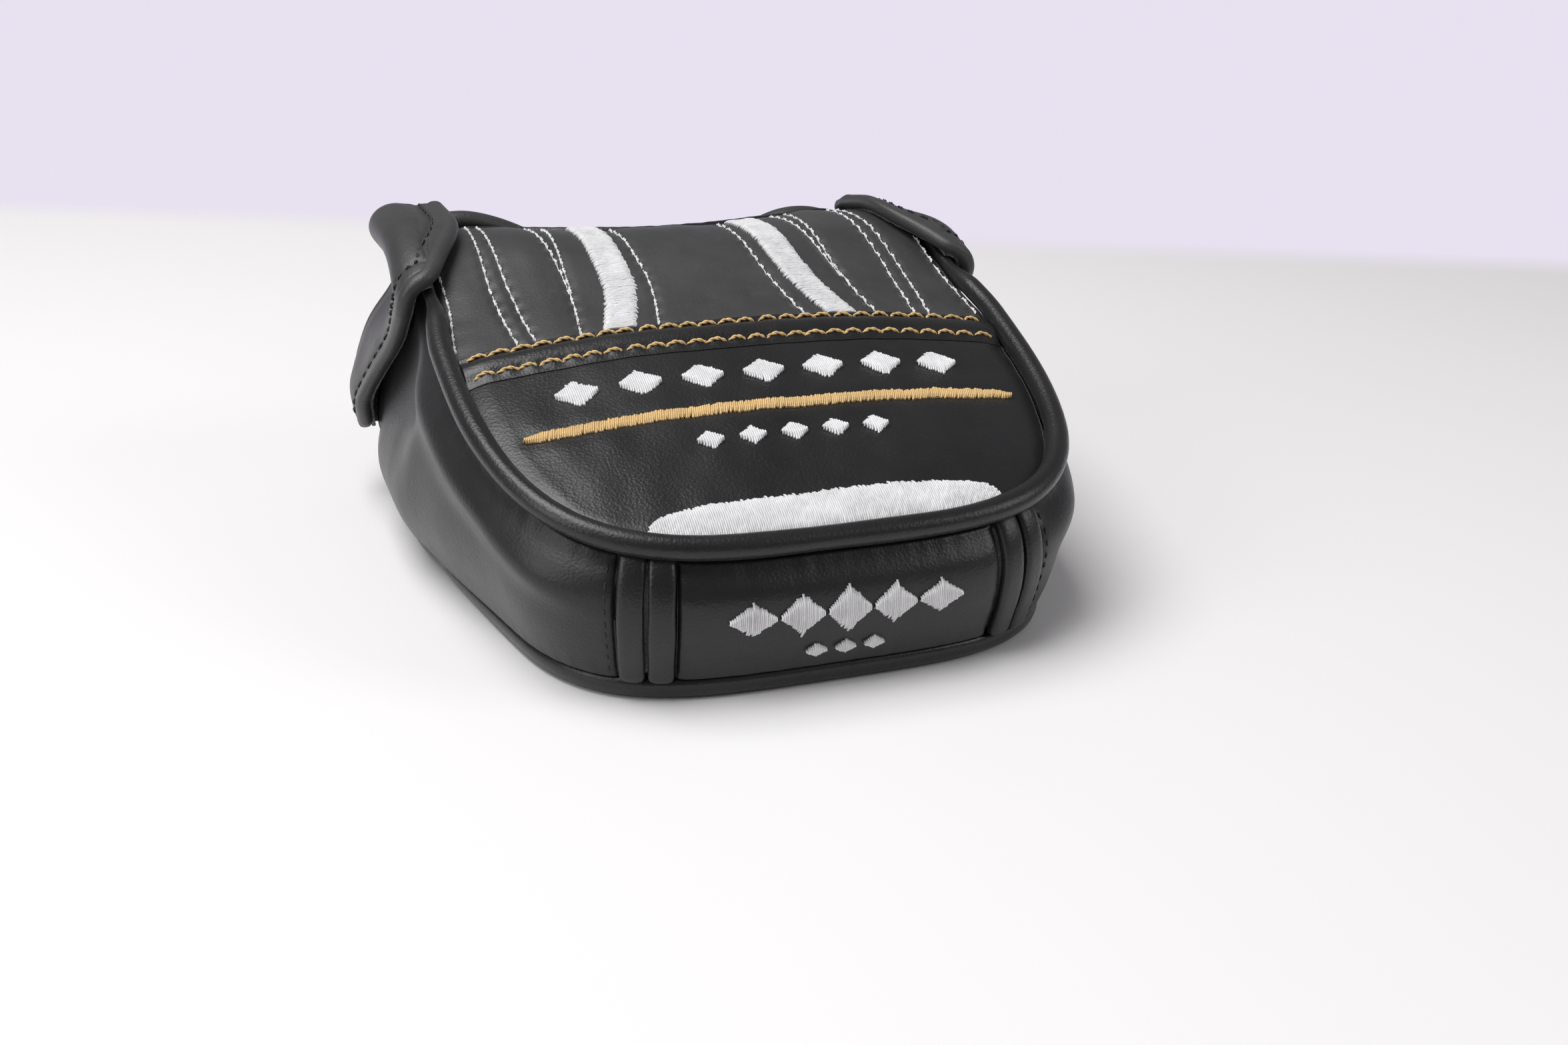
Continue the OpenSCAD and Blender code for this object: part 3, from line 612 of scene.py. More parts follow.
def top_normal(x, y):
    e = 0.3
    dx = leather_top(x + e, y) - leather_top(x - e, y)
    dy = leather_top(x, y + e) - leather_top(x, y - e)
    return unit(np.cross(dx, dy))


def top_panel(name, y0, y1, nu, nv, inset, material, slot, replaces, depth0, depth1, plain=False):
    u, v = uv(nu, nv, 0.35)
    q = 2 * u - 1
    y = mix(y0, y1(q * (HALF_W - 6)), v)
    x = q * inset_x(y, inset)
    round_off = edge_round(u, v, 2 * HALF_W, abs(MOUTH_Y - JOINT_Y), 0.8)
    mid = -(depth0 + depth1) / 2
    half = (depth1 - depth0) / 2
    z = 0 if plain else relief(x, y)
    outer = top_at(x, y, mid + half * round_off + z)
    inner = top_at(x, y, mid - half * round_off + (0 if plain else 0.6 * z))
    return add_shell(name, outer, inner, material, SHELL, slot, replaces)


front_panel = top_panel("top_front_leather", JOINT_Y + GAP, edge_y, 230, 120, FOAM_D + GAP, GREY,
                        "leather_grey", ["top_front_panel"], 0, SKIN_T)
rear_panel = top_panel("top_rear_leather", rear_row(FOAM_D + GAP), lambda x: JOINT_Y - GAP + 0 * x, 230, 110,
                       FOAM_D + GAP, BLACK, "leather_black", ["top_rear_panel"], 0, SKIN_T)
top_pad = top_panel("top_padding", rear_row(LINING_D + GAP), edge_y, 60, 50, LINING_D + GAP, FOAM, "foam",
                    ["top_foam"], FOAM_D + 0.4, FOAM_D + FOAM_T, plain=True)


def band():
    """The folded black edge that laps the front panel; its own front edge is rolled."""
    u, v = uv(260, 44, 0.3)
    y = mix(JOINT_Y - BAND_W / 2, JOINT_Y + BAND_W / 2, v)
    x = (2 * u - 1) * (half_x(y) - WELT_R - 0.4)
    low, thick = 0.12, 0.95
    fade = smooth(0, 0.22, v)                  # the band grows out of the rear panel's leather
    roll = np.sqrt(np.clip(1 - np.clip((v - 0.88) / 0.12, 0, 1) ** 2, 0.03, 1))
    z = relief(x, y)
    outer = top_at(x, y, z + low + mix(0.02, thick, fade) * roll)
    return add_shell("top_band_leather", outer, top_at(x, y, z + low), BLACK, SHELL, "leather_black",
                     ["band_strip"])


band()
BAND_LIFT = 1.07         # height of the band's face over the top


def stitch_mesh(curve, normal, count, fill, radius, ply, turns, arch, sink, bow=0.0, points=13, seed=1):
    """A row of two-ply twisted stitches. curve and normal take q from 0 to 1 along the row."""
    rng = np.random.default_rng(seed)
    i = np.arange(count)[:, None]
    t = np.linspace(0, 1, points)[None]
    length = fill * (1 + 0.06 * rng.standard_normal((count, 1)))
    q = np.clip((i + 0.5 + 0.05 * rng.standard_normal((count, 1)) + (t - 0.5) * length) / count, 0, 1)
    p = curve(q)
    n = normal(q)
    tangent = unit(np.gradient(p, axis=1))
    b = unit(np.cross(n, tangent))
    rise = arch * np.sin(np.pi * t) ** 0.6 - sink * (1 - np.sin(np.pi * t) ** 0.35)
    p = p + n * rise[..., None] + b * (bow * np.sin(np.pi * t))[..., None]
    phase = rng.uniform(0, 2 * np.pi, (count, 1))
    taper = np.clip(np.sin(np.pi * t) * 3.2, 0.35, 1) ** 0.6 * np.ones((count, 1))
    solids = []
    for k in range(2):
        a = 2 * np.pi * turns * t + phase + np.pi * k
        centre = p + (b * np.cos(a)[..., None] + n * np.sin(a)[..., None]) * ply
        solids.append(strands(centre, b, n, radius * taper, radius * taper))
    return join(solids)


def on_top(path, lift):
    curve = lambda q: leather_top(*path(q), lift)
    return curve, lambda q: top_normal(*path(q))


def gold_rows():
    reach = HALF_W - 4.2
    count = int(2 * reach / STITCH)
    solids = []
    for k, gold_y in enumerate(GOLD_Y):
        path = lambda q, gold_y=gold_y: ((2 * q - 1) * reach, gold_y + 0 * q)
        lift = BAND_LIFT + 0.12 if k == 0 else BAND_LIFT - 0.05
        solids.append(stitch_mesh(*on_top(path, lift), count, 1.04, 0.215, 0.165, 1.7, 0.26, 0.42, bow=0.5,
                                  seed=20 + k))
    return add_mesh("band_gold_stitches", *join(solids), GOLD_THREAD, SHELL, "thread_gold",
                    ["band_stitching"])


gold_rows()


def white_paths():
    """Plan of each white row, as a function of q from 0 to 1, and its length."""
    paths = []
    for side in (-1, 1):
        for row in ROWS:
            end = float(row_end(row[2]))
            paths.append((lambda q, row=row, end=end, side=side:
                          (side * row_x(row, q), mix(ROW_Y0, end, q)), end - ROW_Y0))
        end = float(row_end(BRANCH[1]))
        start = mix(ROW_Y0, end, KINK)
        paths.append((lambda q, end=end, side=side, start=start:
                      (side * mix(*BRANCH, q), mix(start, end, q)), end - start))
        paths.append((lambda q, side=side: (side * (half_x(mix(*WELT_ROW, q)) - 2.9), mix(*WELT_ROW, q)),
                      WELT_ROW[1] - WELT_ROW[0]))
    return paths


def white_rows():
    """Each row is a chain of bright top stitches with a thinner twist showing between them."""
    solids = []
    for k, (path, length) in enumerate(white_paths()):
        count = max(3, int(length / 3.3))
        curve = on_top(path, 0.12)
        solids.append(stitch_mesh(*curve, count, 0.62, 0.185, 0.13, 1.0, 0.22, 0.22, seed=40 + k))
        between = [lambda q, c=c, n=count: c(np.clip(q + 0.5 / n, 0, 1)) for c in curve]
        solids.append(stitch_mesh(*between, count, 0.42, 0.065, 0.05, 0.7, 0.0, 0.12, seed=90 + k, points=7))
    return add_mesh("top_white_stitches", *join(solids), WHITE_THREAD, SHELL, "thread_white",
                    ["top_stitching"])


white_rows()

THREAD_PITCH = 0.40      # from one satin thread to the next


def satin(plan, surface, normal, length, height, seed, breaks=0.0, points=15, slant=0.0, ragged=0.02):
    """Satin embroidery: threads laid side by side across a shape.
    plan(u, v) is the shape, v running along each thread."""
    rng = np.random.default_rng(seed)
    count = max(4, int(length / THREAD_PITCH))
    i = (np.arange(count)[:, None] + 0.5) / count
    t = np.linspace(0, 1, points)[None]
    over0, over1 = ragged * rng.standard_normal((2, count, 1))
    v = mix(0 + over0, 1 + over1, t)
    u = np.clip(i + slant * (t - 0.5) + 0 * v, 0, 1)
    a = plan(u, v)
    p, n = surface(*a), normal(*a)
    tangent = unit(np.gradient(p, axis=1))
    b = unit(np.cross(n, tangent))
    profile = np.clip(1 - np.abs(2 * t - 1) ** 5, 0, 1) ** 0.6
    rise = height * profile + 0.04 * rng.standard_normal((count, 1))
    if breaks:
        spots = rng.uniform(0, 1, (count, 1))
        for k in range(int(breaks)):
            at = (spots + k / breaks) % 1
            rise = rise - 0.16 * bump(0, 0.045, t - at) * (profile > 0.5)
    p = p + n * rise[..., None]
    return strands(p, b, n, THREAD_PITCH * 0.56, 0.24 + 0.12 * profile * np.ones((count, 1)))


def top_satin(name, plans, material, slot, replaces):
    """Satin shapes on the top; each is its plan, length, height, breaks and other settings."""
    surface = lambda x, y: leather_top(x, y, 0.05)
    solids = [satin(plan, surface, top_normal, length, height, 200 + 7 * k, breaks, **more)
              for k, (plan, length, height, breaks, more) in enumerate(plans)]
    return add_mesh(name, *join(solids), material, SHELL, slot, replaces)


def stripe_plan(side):
    """The broad white stripe on one side, which bends as the rows beside it do."""
    end = float(row_end(STRIPE[2]))

    def plan(u, v):
        return side * (row_x(STRIPE, u) + (v - 0.5) * STRIPE_W), mix(ROW_Y0 + 0.2, end, u)
    return plan, end - ROW_Y0, 0.5, 2, {"ragged": 0.022}


for side_name, side in SIDES:
    top_satin(f"{side_name}_stripe_embroidery", [stripe_plan(side)], WHITE_THREAD, "thread_white",
              [f"stripe_{side_name}"])


def closing(q, power):
    return np.clip(1 - np.abs(q) ** power, 0, 1) ** 0.5


def bar_plan(u, v):
    q = 2 * u - 1
    return q * BAR_HW, BAR_Y + (v - 0.5) * (BAR_W * closing(q, 14) + 0.25)


def crescent_plan(u, v):
    q = 2 * u - 1
    return q * CRESCENT_HW, -reach_back(q * CRESCENT_HW) + 3.2 + v * (CRESCENT_W * closing(q, 4) + 0.3)


top_satin("gold_bar_embroidery",
          [(bar_plan, 2 * BAR_HW, 0.5, 0, {"slant": 0.006, "ragged": 0.05, "points": 9})],
          GOLD_THREAD, "thread_gold", ["gold_bar"])
top_satin("rear_crescent_embroidery", [(crescent_plan, 2 * CRESCENT_HW, 0.6, 3, {"ragged": 0.02})],
          WHITE_THREAD, "thread_white", ["rear_crescent"])

# Rows of plain lozenges: station, pitch, lozenge width and height, and how many to each side of the middle
MOTIF_ROWS = ((-31.0, 12.0, 8.0, 7.0, 3), (-48.0, 8.0, 5.0, 4.6, 2))


def lozenge_plan(cx, cy, w, h):
    def plan(u, v):
        q = 2 * u - 1
        return cx + q * w / 2, cy + (v - 0.5) * h * (1 - 0.9 * np.abs(q))
    return plan


def motif():
    plans = []
    for y, pitch, w, h, n in MOTIF_ROWS:
        for i in range(-n, n + 1):
            plans.append((lozenge_plan(i * pitch, y, w, h), w, 0.55, 0, {"points": 9, "ragged": 0.03}))
    return top_satin("top_lozenge_embroidery", plans, WHITE_THREAD, "thread_white", ["top_motif"])


motif()


# ---- welt ----
def welt_radius(y):
    return mix(WELT_R, WELT_FRONT_R, smooth(-6, 6, y))


def welt_line(count):
    """The welt as count points: shares of the outline, centres, outward directions and radii."""
    s = np.linspace(-1, 1, count)
    p = rim(s)
    r = welt_radius(p[:, 1])
    centre = np.stack([p[:, 0], p[:, 1], seam_h(p[:, 1]) - WELT_TOP + r], -1)
    return s, centre, np.concatenate([outward(s), 0 * s[:, None]], 1), r


def welt():
    """The covered cord. Its leather creases on the inner side where it bends."""
    _, centre, n, r = welt_line(620)
    a = np.linspace(0, 2 * np.pi, 28, endpoint=False)
    along = np.cumsum(np.r_[0, np.linalg.norm(np.diff(centre, axis=0), axis=1)])
    turn = np.abs(np.gradient(np.unwrap(np.arctan2(n[:, 1], n[:, 0])), along))
    crease = np.clip(turn * 14, 0.15, 1)
    inner_side = np.clip(np.cos(a - np.pi), 0, 1)[None]
    ripple = 0.05 * lumps(along, 0 * along, 3.1, 5, 6)[:, None] * crease[:, None] * (0.35 + inner_side)
    ripple = ripple + 0.05 * lumps(along, 0 * along, 24, 6, 4)[:, None]
    flat = 0.16 * bump(-0.9, 0.5, a - np.pi * 0.5)[None]
    rr = r[:, None] * (1 + ripple - flat * 0.2)
    up = np.array([0, 0, 1.0])
    rings = centre[:, None] + n[:, None] * (rr * np.cos(a))[..., None] + up * (rr * np.sin(a))[..., None]
    return add_mesh("top_welt_leather", *closed_tube(rings, centre), BLACK, SHELL, "leather_black",
                    ["top_welt"])


def welt_cord():
    s, path, across, r = welt_line(300)
    radius = (r - 0.85) * (1 + 0.04 * lumps(s * 330, 0 * s, 2.2, 9, 3))
    return add_mesh("top_welt_filler_cord", *tube(path, across, radius, radius, 10), CORD, SHELL, "cord",
                    ["top_welt_cord"])


welt()
welt_cord()


# ---- side wall ----
def wall_relief(s, t):
    """Lumps, the valley beside the welt, the shoulder below it and drawn-in seams at the strips."""
    p = rim(s)
    y = p[..., 1]
    height = seam_h(y) - SKIN_DROP - SEAM_Z
    down = t * height
    along = s * WALL_SCALE
    open_part = 1 - smooth(-8, 10, y)
    z = 0.35 * lumps(along, down, 30, 21) * smooth(0, 0.2, t) * smooth(1, 0.85, t) * open_part
    z = z + 1.7 * bump(8.0, 3.6, down) * open_part * smooth(0.22, 0.34, np.abs(s))
    z = z - 0.7 * bump(1.8, 2.2, down) * open_part
    at_edges = bump(0, 3.5, down) + bump(height, 3.5, down)
    z = z + 0.08 * lumps(along, 0.15 * down, 4.2, 22, 5) * at_edges * open_part
    for k, edge in ((0, STRIPS[0]), (1, STRIPS[3])):
        d = (np.abs(s) - edge) * WALL_SCALE
        z = z - 0.55 * bump(0, 1.6, d) * smooth(0, 0.05, t)
        z = z + 0.07 * lumps(0.2 * d, down, 3.5, 23 + k, 4) * bump(0, 5, d)
    return z


def wall_panel(name, s0, s1, nu, nv, material, slot, replaces, d0, d1, drop, plain=False):
    """A layer of the side wall from share s0 to s1, between depths d0 and d1(s) below its face."""
    u, v = uv(nu, nv, 0.4)
    s = mix(s0, s1, u)
    round_off = edge_round(u, v, abs(s1 - s0) * WALL_SCALE, 40, 1.0)
    mid, half = -(d0 + d1(s)) / 2, (d1(s) - d0) / 2
    z = 0 if plain else wall_relief(s, v)
    outer = wall(s, v, mid + half * round_off + z, drop)
    inner = wall(s, v, mid - half * round_off + (0 if plain else 0.6 * z), drop)
    return add_shell(name, outer, inner, material, SHELL, slot, replaces)


def skin_depth(s):
    return SKIN_T + 0 * s


def foam_depth(s):
    return FOAM_D + FOAM_T + 0 * s


def gusset_foam_depth(s):
    """The foam thins towards the mouth."""
    return mix(FOAM_D + FOAM_T, FOAM_D + 1.3, smooth(6, 12, rim(s)[..., 1]))


SEAM_GAP = 0.003         # share of the outline left open at a seam
PAD_TOP, PAD_DROP = FOAM_D + 0.4, SKIN_T + SKIN_DROP
padded_pieces = [(front_panel, 0.6), (rear_panel, 0.75), (top_pad, 0.7)]
for side_name, side in SIDES:
    gusset = wall_panel(f"{side_name}_gusset_leather", side * (STRIPS[3] + SEAM_GAP), side, 260, 70, SOFT,
                        "leather_soft", [f"gusset_{side_name}"], 0, skin_depth, SKIN_DROP)
    pad = wall_panel(f"{side_name}_gusset_padding", side * STRIPS[0], side, 90, 16, FOAM, "foam",
                     [f"gusset_foam_{side_name}"], PAD_TOP, gusset_foam_depth, PAD_DROP, plain=True)
    padded_pieces += [(gusset, 0.6), (pad, 0.6)]
rear_wall = wall_panel("rear_wall_leather", -STRIPS[0] + SEAM_GAP, STRIPS[0] - SEAM_GAP, 200, 70, BLACK,
                       "leather_black", ["rear_panel"], 0, skin_depth, SKIN_DROP)
rear_pad = wall_panel("rear_padding", -STRIPS[0] + SEAM_GAP, STRIPS[0] - SEAM_GAP, 60, 16, FOAM, "foam",
                      ["rear_foam"], PAD_TOP, foam_depth, PAD_DROP, plain=True)
padded_pieces += [(rear_wall, 0.7), (rear_pad, 0.6)]

STRIP_HALF = float(np.linalg.norm(rim(STRIPS[3]) - rim(STRIPS[0]))) / 4 + 0.12


def corner_strip(name, middle, seed, node):
    """A folded strip over the corner seam: rounded across, tucked under the welt, rounded at its low end."""
    t = np.linspace(0.0, 1.02, 60)
    on_wall = np.minimum(t, 1)
    path = wall(middle, on_wall, -0.15)
    path[:, 2] = np.where(t > 1, path[:, 2] - (t - 1) * 20, path[:, 2])
    ahead = unit(wall(middle + 0.004, on_wall, 0.0) - wall(middle - 0.004, on_wall, 0.0))
    end = np.sqrt(np.clip(1 - np.clip((t - 0.94) / 0.08, 0, 1) ** 2, 0.03, 1))
    wobble = 1 + 0.03 * lumps(t * 20, 0 * t, 9, seed, 4)
    return add_mesh(name, *tube(path, ahead, STRIP_HALF * end * wobble, 1.15 * end, 26, 0.62), BLACK, SHELL,
                    "leather_black", [node])


for side_name, side in SIDES:
    for part, s0, s1 in (("inner", *STRIPS[:2]), ("outer", *STRIPS[2:])):
        corner_strip(f"{side_name}_{part}_corner_strip", side * (s0 + s1) / 2, int(s0 * 1000),
                     f"strip_{side_name}_{part}")


def wall_leather(s, t, lift=0.0):
    return wall(s, t, wall_relief(s, t) + lift)


def wall_normal(s, t):
    ds = wall_leather(s + 0.002, t) - wall_leather(s - 0.002, t)
    dt = wall_leather(s, t + 0.01) - wall_leather(s, t - 0.01)
    return unit(np.cross(dt, ds))


def rear_embroidery():
    """Five lozenges in a row and three small ones below: place, width and height, as shares of the wall."""
    patches = [(300 + i, i * 0.055, 0.45, 0.05, 0.4 - 0.06 * abs(i)) for i in range(-2, 3)]
    patches += [(320 + i, i * 0.035, 0.8, 0.024, 0.13) for i in range(-1, 2)]
    surface = lambda s, t: wall_leather(s, t, 0.05)
    solids = [satin(lozenge_plan(s0, t0, wide, tall), surface, wall_normal, wide * WALL_SCALE, 0.55, seed,
                    points=9, ragged=0.03) for seed, s0, t0, wide, tall in patches]
    return add_mesh("rear_lozenge_embroidery", *join(solids), WHITE_THREAD, SHELL, "thread_white",
                    ["rear_motif"])


rear_embroidery()


def seam_stitches():
    """Dark stitches beside the corner strips."""
    solids = []
    for side in (-1, 1):
        path = lambda q, side=side: (side * (STRIPS[3] + 0.012) + 0 * q, mix(0.06, 0.96, q))
        curve = lambda q, path=path: wall_leather(*path(q), 0.02)
        normal = lambda q, path=path: wall_normal(*path(q))
        solids.append(stitch_mesh(curve, normal, 9, 0.6, 0.13, 0.08, 1, 0.05, 0.2, seed=140 + side))
    return add_mesh("corner_seam_stitches", *join(solids), DARK_THREAD, SHELL, "leather_black")


seam_stitches()


# ---- sole ----
def sole():
    """The sole leather: its turned edge from inside the wall, round the seam and in under the sole."""
    levels = [(-WALL_T + 0.6, SEAM_Z - 0.4), (-1.9, SEAM_Z - 0.3), (-1.0, SEAM_Z + 0.1),
              (-0.35, SEAM_Z - 0.2), (-0.02, SEAM_Z - 0.9), (-0.05, SEAM_Z - 1.7), (-0.45, 1.3),
              (-1.2, 0.45), (-2.2, 0.08), (-3.2, 0.0), (-5.0, 0.0)]
    rows, cols = len(levels), 220
    s = np.linspace(-1, 1, cols)
    rings = np.array([np.column_stack([wall(s, 1.0, lift)[:, :2], np.full(cols, z)]) for lift, z in levels])
    faces = grid_faces(rows, cols).tolist()
    cap = np.arange(cols)
    faces.append(((rows - 1) * cols + cap).tolist())
    faces.append(cap[::-1].tolist())
    faces.append([i * cols for i in range(rows)] + [i * cols + cols - 1 for i in range(rows - 1, -1, -1)])
    return add_mesh("sole_leather", rings, faces, BLACK, SHELL, "leather_black", ["sole_panel"])


sole()


# ---- lining ----
def lining_top():
    u, v = uv(110, 90, 0.2)
    q = 2 * u - 1
    y = mix(rear_row(WALL_T + GAP), edge_y(q * (HALF_W - 6)), v)
    x = q * inset_x(y, WALL_T + GAP)
    pile = 0.22 * lumps(x, y, 2.6, 31, 8) + 0.3 * lumps(x, y, 17, 32)
    return add_shell("top_plush", top_at(x, y, -LINING_D), top_at(x, y, -WALL_T - 0.2 + pile), PLUSH, SHELL,
                     "plush", ["top_lining"])


def lining_wall(name, s0, s1, nu, node):
    u, v = uv(nu, 40, 0.1)
    s = mix(s0, s1, u)
    pile = 0.22 * lumps(s * WALL_SCALE, v * 35, 2.6, 33, 8)
    drop = LINING_D + 1.3
    return add_shell(name, wall(s, v, -LINING_D, drop), wall(s, v, -WALL_T - 0.1 + pile, drop), PLUSH, SHELL,
                     "plush", [node])


lining_top()
lining_wall("left_plush", -STRIPS[0], -1.0, 120, "gusset_lining_left")
lining_wall("right_plush", STRIPS[0], 1.0, 120, "gusset_lining_right")
lining_wall("rear_plush", -STRIPS[0] + SEAM_GAP, STRIPS[0] - SEAM_GAP, 70, "rear_lining")


def lining_sole():
    u, v = uv(110, 100, 0.1)
    y = mix(-REAR_D + WALL_T - 0.5, MOUTH_Y - 0.5, v)
    lean = FLARE + STEP * smooth(-12, 2.5, y)
    x = (2 * u - 1) * (inset_x(y, WALL_T + LINING_GAP) + lean * smooth(-REAR_D, -REAR_D + 25, y))
    pile = 0.2 * lumps(x, y, 2.6, 35, 8)
    top = np.stack([x, y, SEAM_Z + 1.0 + pile], -1)
    low = np.stack([x, y, np.full_like(x, SEAM_Z + 0.02)], -1)
    return add_shell("sole_plush", top, low, PLUSH, SHELL, "plush", ["sole_lining"])


lining_sole()


# ---- mouth ----
def mouth_edge():
    """Binding up one side of the mouth, over the top along its scooped edge and down the other side."""
    q = np.linspace(0, 1, 420)
    side = np.where(q < 0.5, -1.0, 1.0)
    a = np.abs(2 * q - 1)
    over, down = 0.6, 0.72          # shares of each half where the corner starts and ends
    side_x = HALF_W - NECK_IN + STEP - WALL_T / 2
    r = 4.5
    end = side_x - r
    by = MOUTH_Y + 1.4
    zc = seam_h(MOUTH_Y) - SKIN_DROP - WALL_T / 2 - r + 0.6
    g = np.radians(90 * (down - a) / 0.12)
    x_top = side * end * np.minimum(a, over) / over
    y_edge = edge_y(x_top)
    m = smooth(0.5, over, a)
    low = (a - down) / 0.28
    lower = np.stack([side * (side_x + FLARE * low), by + 0 * a, mix(zc, SEAM_Z + 2.5, low)], -1)
    corner = np.stack([side * (end + r * np.cos(g)), by + 0 * a, zc + r * np.sin(g)], -1)
    top = np.stack([x_top, mix(y_edge + 1.8, by, m), mix(top_z(x_top, y_edge) - WALL_T / 2, zc + r, m)], -1)
    path = np.where((a > down)[:, None], lower, np.where((a > over)[:, None], corner, top))
    path = smooth_path(path, 13, mode="edge")
    across = np.tile([0.0, 1.0, 0.0], (len(q), 1))
    rv = (WALL_T / 2 + 0.1) * (1 + 0.03 * lumps(q * 300, 0 * q, 7, 51, 5))
    return add_mesh("mouth_binding_leather", *tube(path, across, 1.25, rv, 18, 0.75), BLACK, SHELL,
                    "leather_black", ["mouth_binding"])


mouth_edge()


# ---- flap ----
def ear_edge(y):
    """How far from the middle a wing's ear reaches in over the top at station y."""
    return mix(WING_X - WING_CORNER - 0.5, EAR_X, smooth(WING_BACK_Y - 3, WING_BACK_Y + 24, y))


def ear_floor(y):
    """Height of the top and its welt under an ear."""
    p = np.minimum(y, PEAK_Y)
    lip = seam_h(p) - WELT_TOP + 2 * welt_radius(p)
    return 0.3 + np.maximum(lip, np.maximum(top_z(ear_edge(p), p), top_z(EAR_X, p)))


FLAP_HIGH = float(ear_floor(PEAK_Y)) + WING_SKIN_O + WING_SKIN_T - 2 * HEM_R
FLAP_SKIN_Y = FLAP_Y + 3.0
FLAP_SAG = 3.0           # how far the stuffed flap's top edge stands below its flat height


def flap_edge(x):
    """Height of the flap's top edge, which dips in the middle."""
    return FLAP_HIGH - FLAP_SAG - FLAP_DIP * np.maximum(0, 1 - (x / DIP_HW) ** 2) ** 2


def on_flap(points):
    return np.where(points[..., :1] < 0, drape(points, -1), drape(points, 1))


def flap_at(x, v, y):
    """Points of the flap at station y; v is 0 at the fold and 1 at the top edge."""
    x, v = np.broadcast_arrays(np.asarray(x, float), np.asarray(v, float))
    return on_flap(np.stack([x, y + 0 * x, mix(FOLD_Z + 0.3, flap_edge(x) - 0.4, v)], -1))


def flap_stiffener():
    u, v = uv(60, 8, 0.2)
    x = (2 * u - 1) * FLAP_HW
    return add_shell("flap_board_sheet", flap_at(x, v, FLAP_Y + 2.7), flap_at(x, v, FLAP_Y + 1.15), BOARD,
                     FLAP, "board", ["flap_board"])


def flap_cover():
    u, v = uv(200, 100, 0.4)
    x = (2 * u - 1) * FLAP_HW
    z = mix(FOLD_Z, flap_edge(x), v)
    near = np.minimum(np.minimum(FLAP_HW - np.abs(x), (1 - v) * FLAP_TALL), v * FLAP_TALL + 3)
    puff = 1.5 * smooth(0, 14, near) + 0.2 * lumps(x, z, 24, 61) * smooth(0, 8, near)
    top_row = flap_edge(x) - z
    puff = puff - 0.35 * bump(4.2, 0.9, top_row) + 0.06 * lumps(x, z, 5, 62) * bump(4, 5, top_row)
    rounded = edge_round(u, v, 2 * FLAP_HW, FLAP_TALL, 1.6)
    outer = flap_at(x, v, FLAP_SKIN_Y + 1.7 * rounded + puff - 0.4)
    return add_shell("flap_leather", outer, flap_at(x, v, FLAP_SKIN_Y + 0.1), GREY, FLAP, "leather_soft",
                     ["flap_cover"])


def flap_lining():
    u, v = uv(200, 100, 0.4)
    x = (2 * u - 1) * FLAP_HW
    pile = 0.18 * lumps(x, mix(FOLD_Z, flap_edge(x), v), 2.6, 63, 8)
    return add_shell("flap_plush", flap_at(x, v, FLAP_Y + 0.15 + pile), flap_at(x, v, FLAP_Y + 1.0), PLUSH,
                     FLAP, "plush", ["flap_lining"])


def flap_rolled_edge():
    q = np.linspace(0, 1, 260)
    x = (2 * q - 1) * (FLAP_HW - 0.3)
    path = on_flap(np.stack([x, np.full_like(x, FLAP_Y + HEM_R + 0.55), flap_edge(x) + HEM_R - 0.1], -1))
    across = np.tile([0.0, 0.0, 1.0], (len(q), 1))
    r = 1 + 0.04 * lumps(x, 0 * x, 12, 64, 5)
    return add_mesh("flap_rolled_hem", *tube(path, across, (HEM_R + 0.1) * r, (HEM_R + 0.35) * r, 20), GREY,
                    FLAP, "leather_soft", ["flap_hem"])


def flap_topstitch():
    def curve(q):
        x = (2 * q - 1) * (FLAP_HW - 3)
        return on_flap(np.stack([x, np.full_like(x, FLAP_SKIN_Y + 2.35), flap_edge(x) - 4.2], -1))
    normal = lambda q: np.stack([0 * q, 1 + 0 * q, 0 * q], -1)
    row = stitch_mesh(curve, normal, 34, 0.72, 0.2, 0.14, 1, 0.25, 0.2, seed=71)
    return add_mesh("flap_topstitching", *row, DARK_THREAD, FLAP, "leather_soft")


def fold_strip():
    """Leather that turns the corner from the sole to the flap, curved round the fold line; it stays in place
    and does not follow the flap.
    """
    profile = np.array([(37.0, 0.25), (41.0, 0.3), (44.5, 0.6), (47.4, 1.3), (49.6, 2.9), (50.3, 5.0),
                        (50.4, 7.6)])
    t = np.linspace(0, len(profile) - 1, 40)
    i = np.minimum(t.astype(int), len(profile) - 2)
    f = (t - i)[:, None]
    line = smooth_path(profile[i] * (1 - f) + profile[i + 1] * f, 7, mode="edge")
    x = np.linspace(-50, 50, 120)
    d = unit(np.gradient(line, axis=0))
    n = np.stack([d[:, 1], -d[:, 0]], -1)
    outer = np.array([[(a, p[0], max(0.02, p[1])) for p in line + n * 0.15] for a in x])
    inner = np.array([[(a, p[0], p[1]) for p in line - n * 1.0] for a in x])
    start = Vector((0, (FOLD_Y - 6 + SHIFT) / MM, 0.0015))
    end = Vector((0, (FOLD_Y + 3.2 + SHIFT) / MM, 0.0075))
    return add_shell("fold_leather", outer, inner, BLACK, (SHELL, FLAP, start, end), "leather_black",
                     ["hinge_strip"])


flap_stiffener()
padded_pieces.append((flap_cover(), 0.5))
flap_lining()
flap_rolled_edge()
flap_topstitch()
fold_strip()


# ---- wings ----
def wing_back(w):
    """Station of a wing's free rear edge, which slants forward towards the sole."""
    return mix(WING_LOW_Y, WING_BACK_Y, 1 - (1 - np.minimum(1, w / WING_A)) ** 1.1)


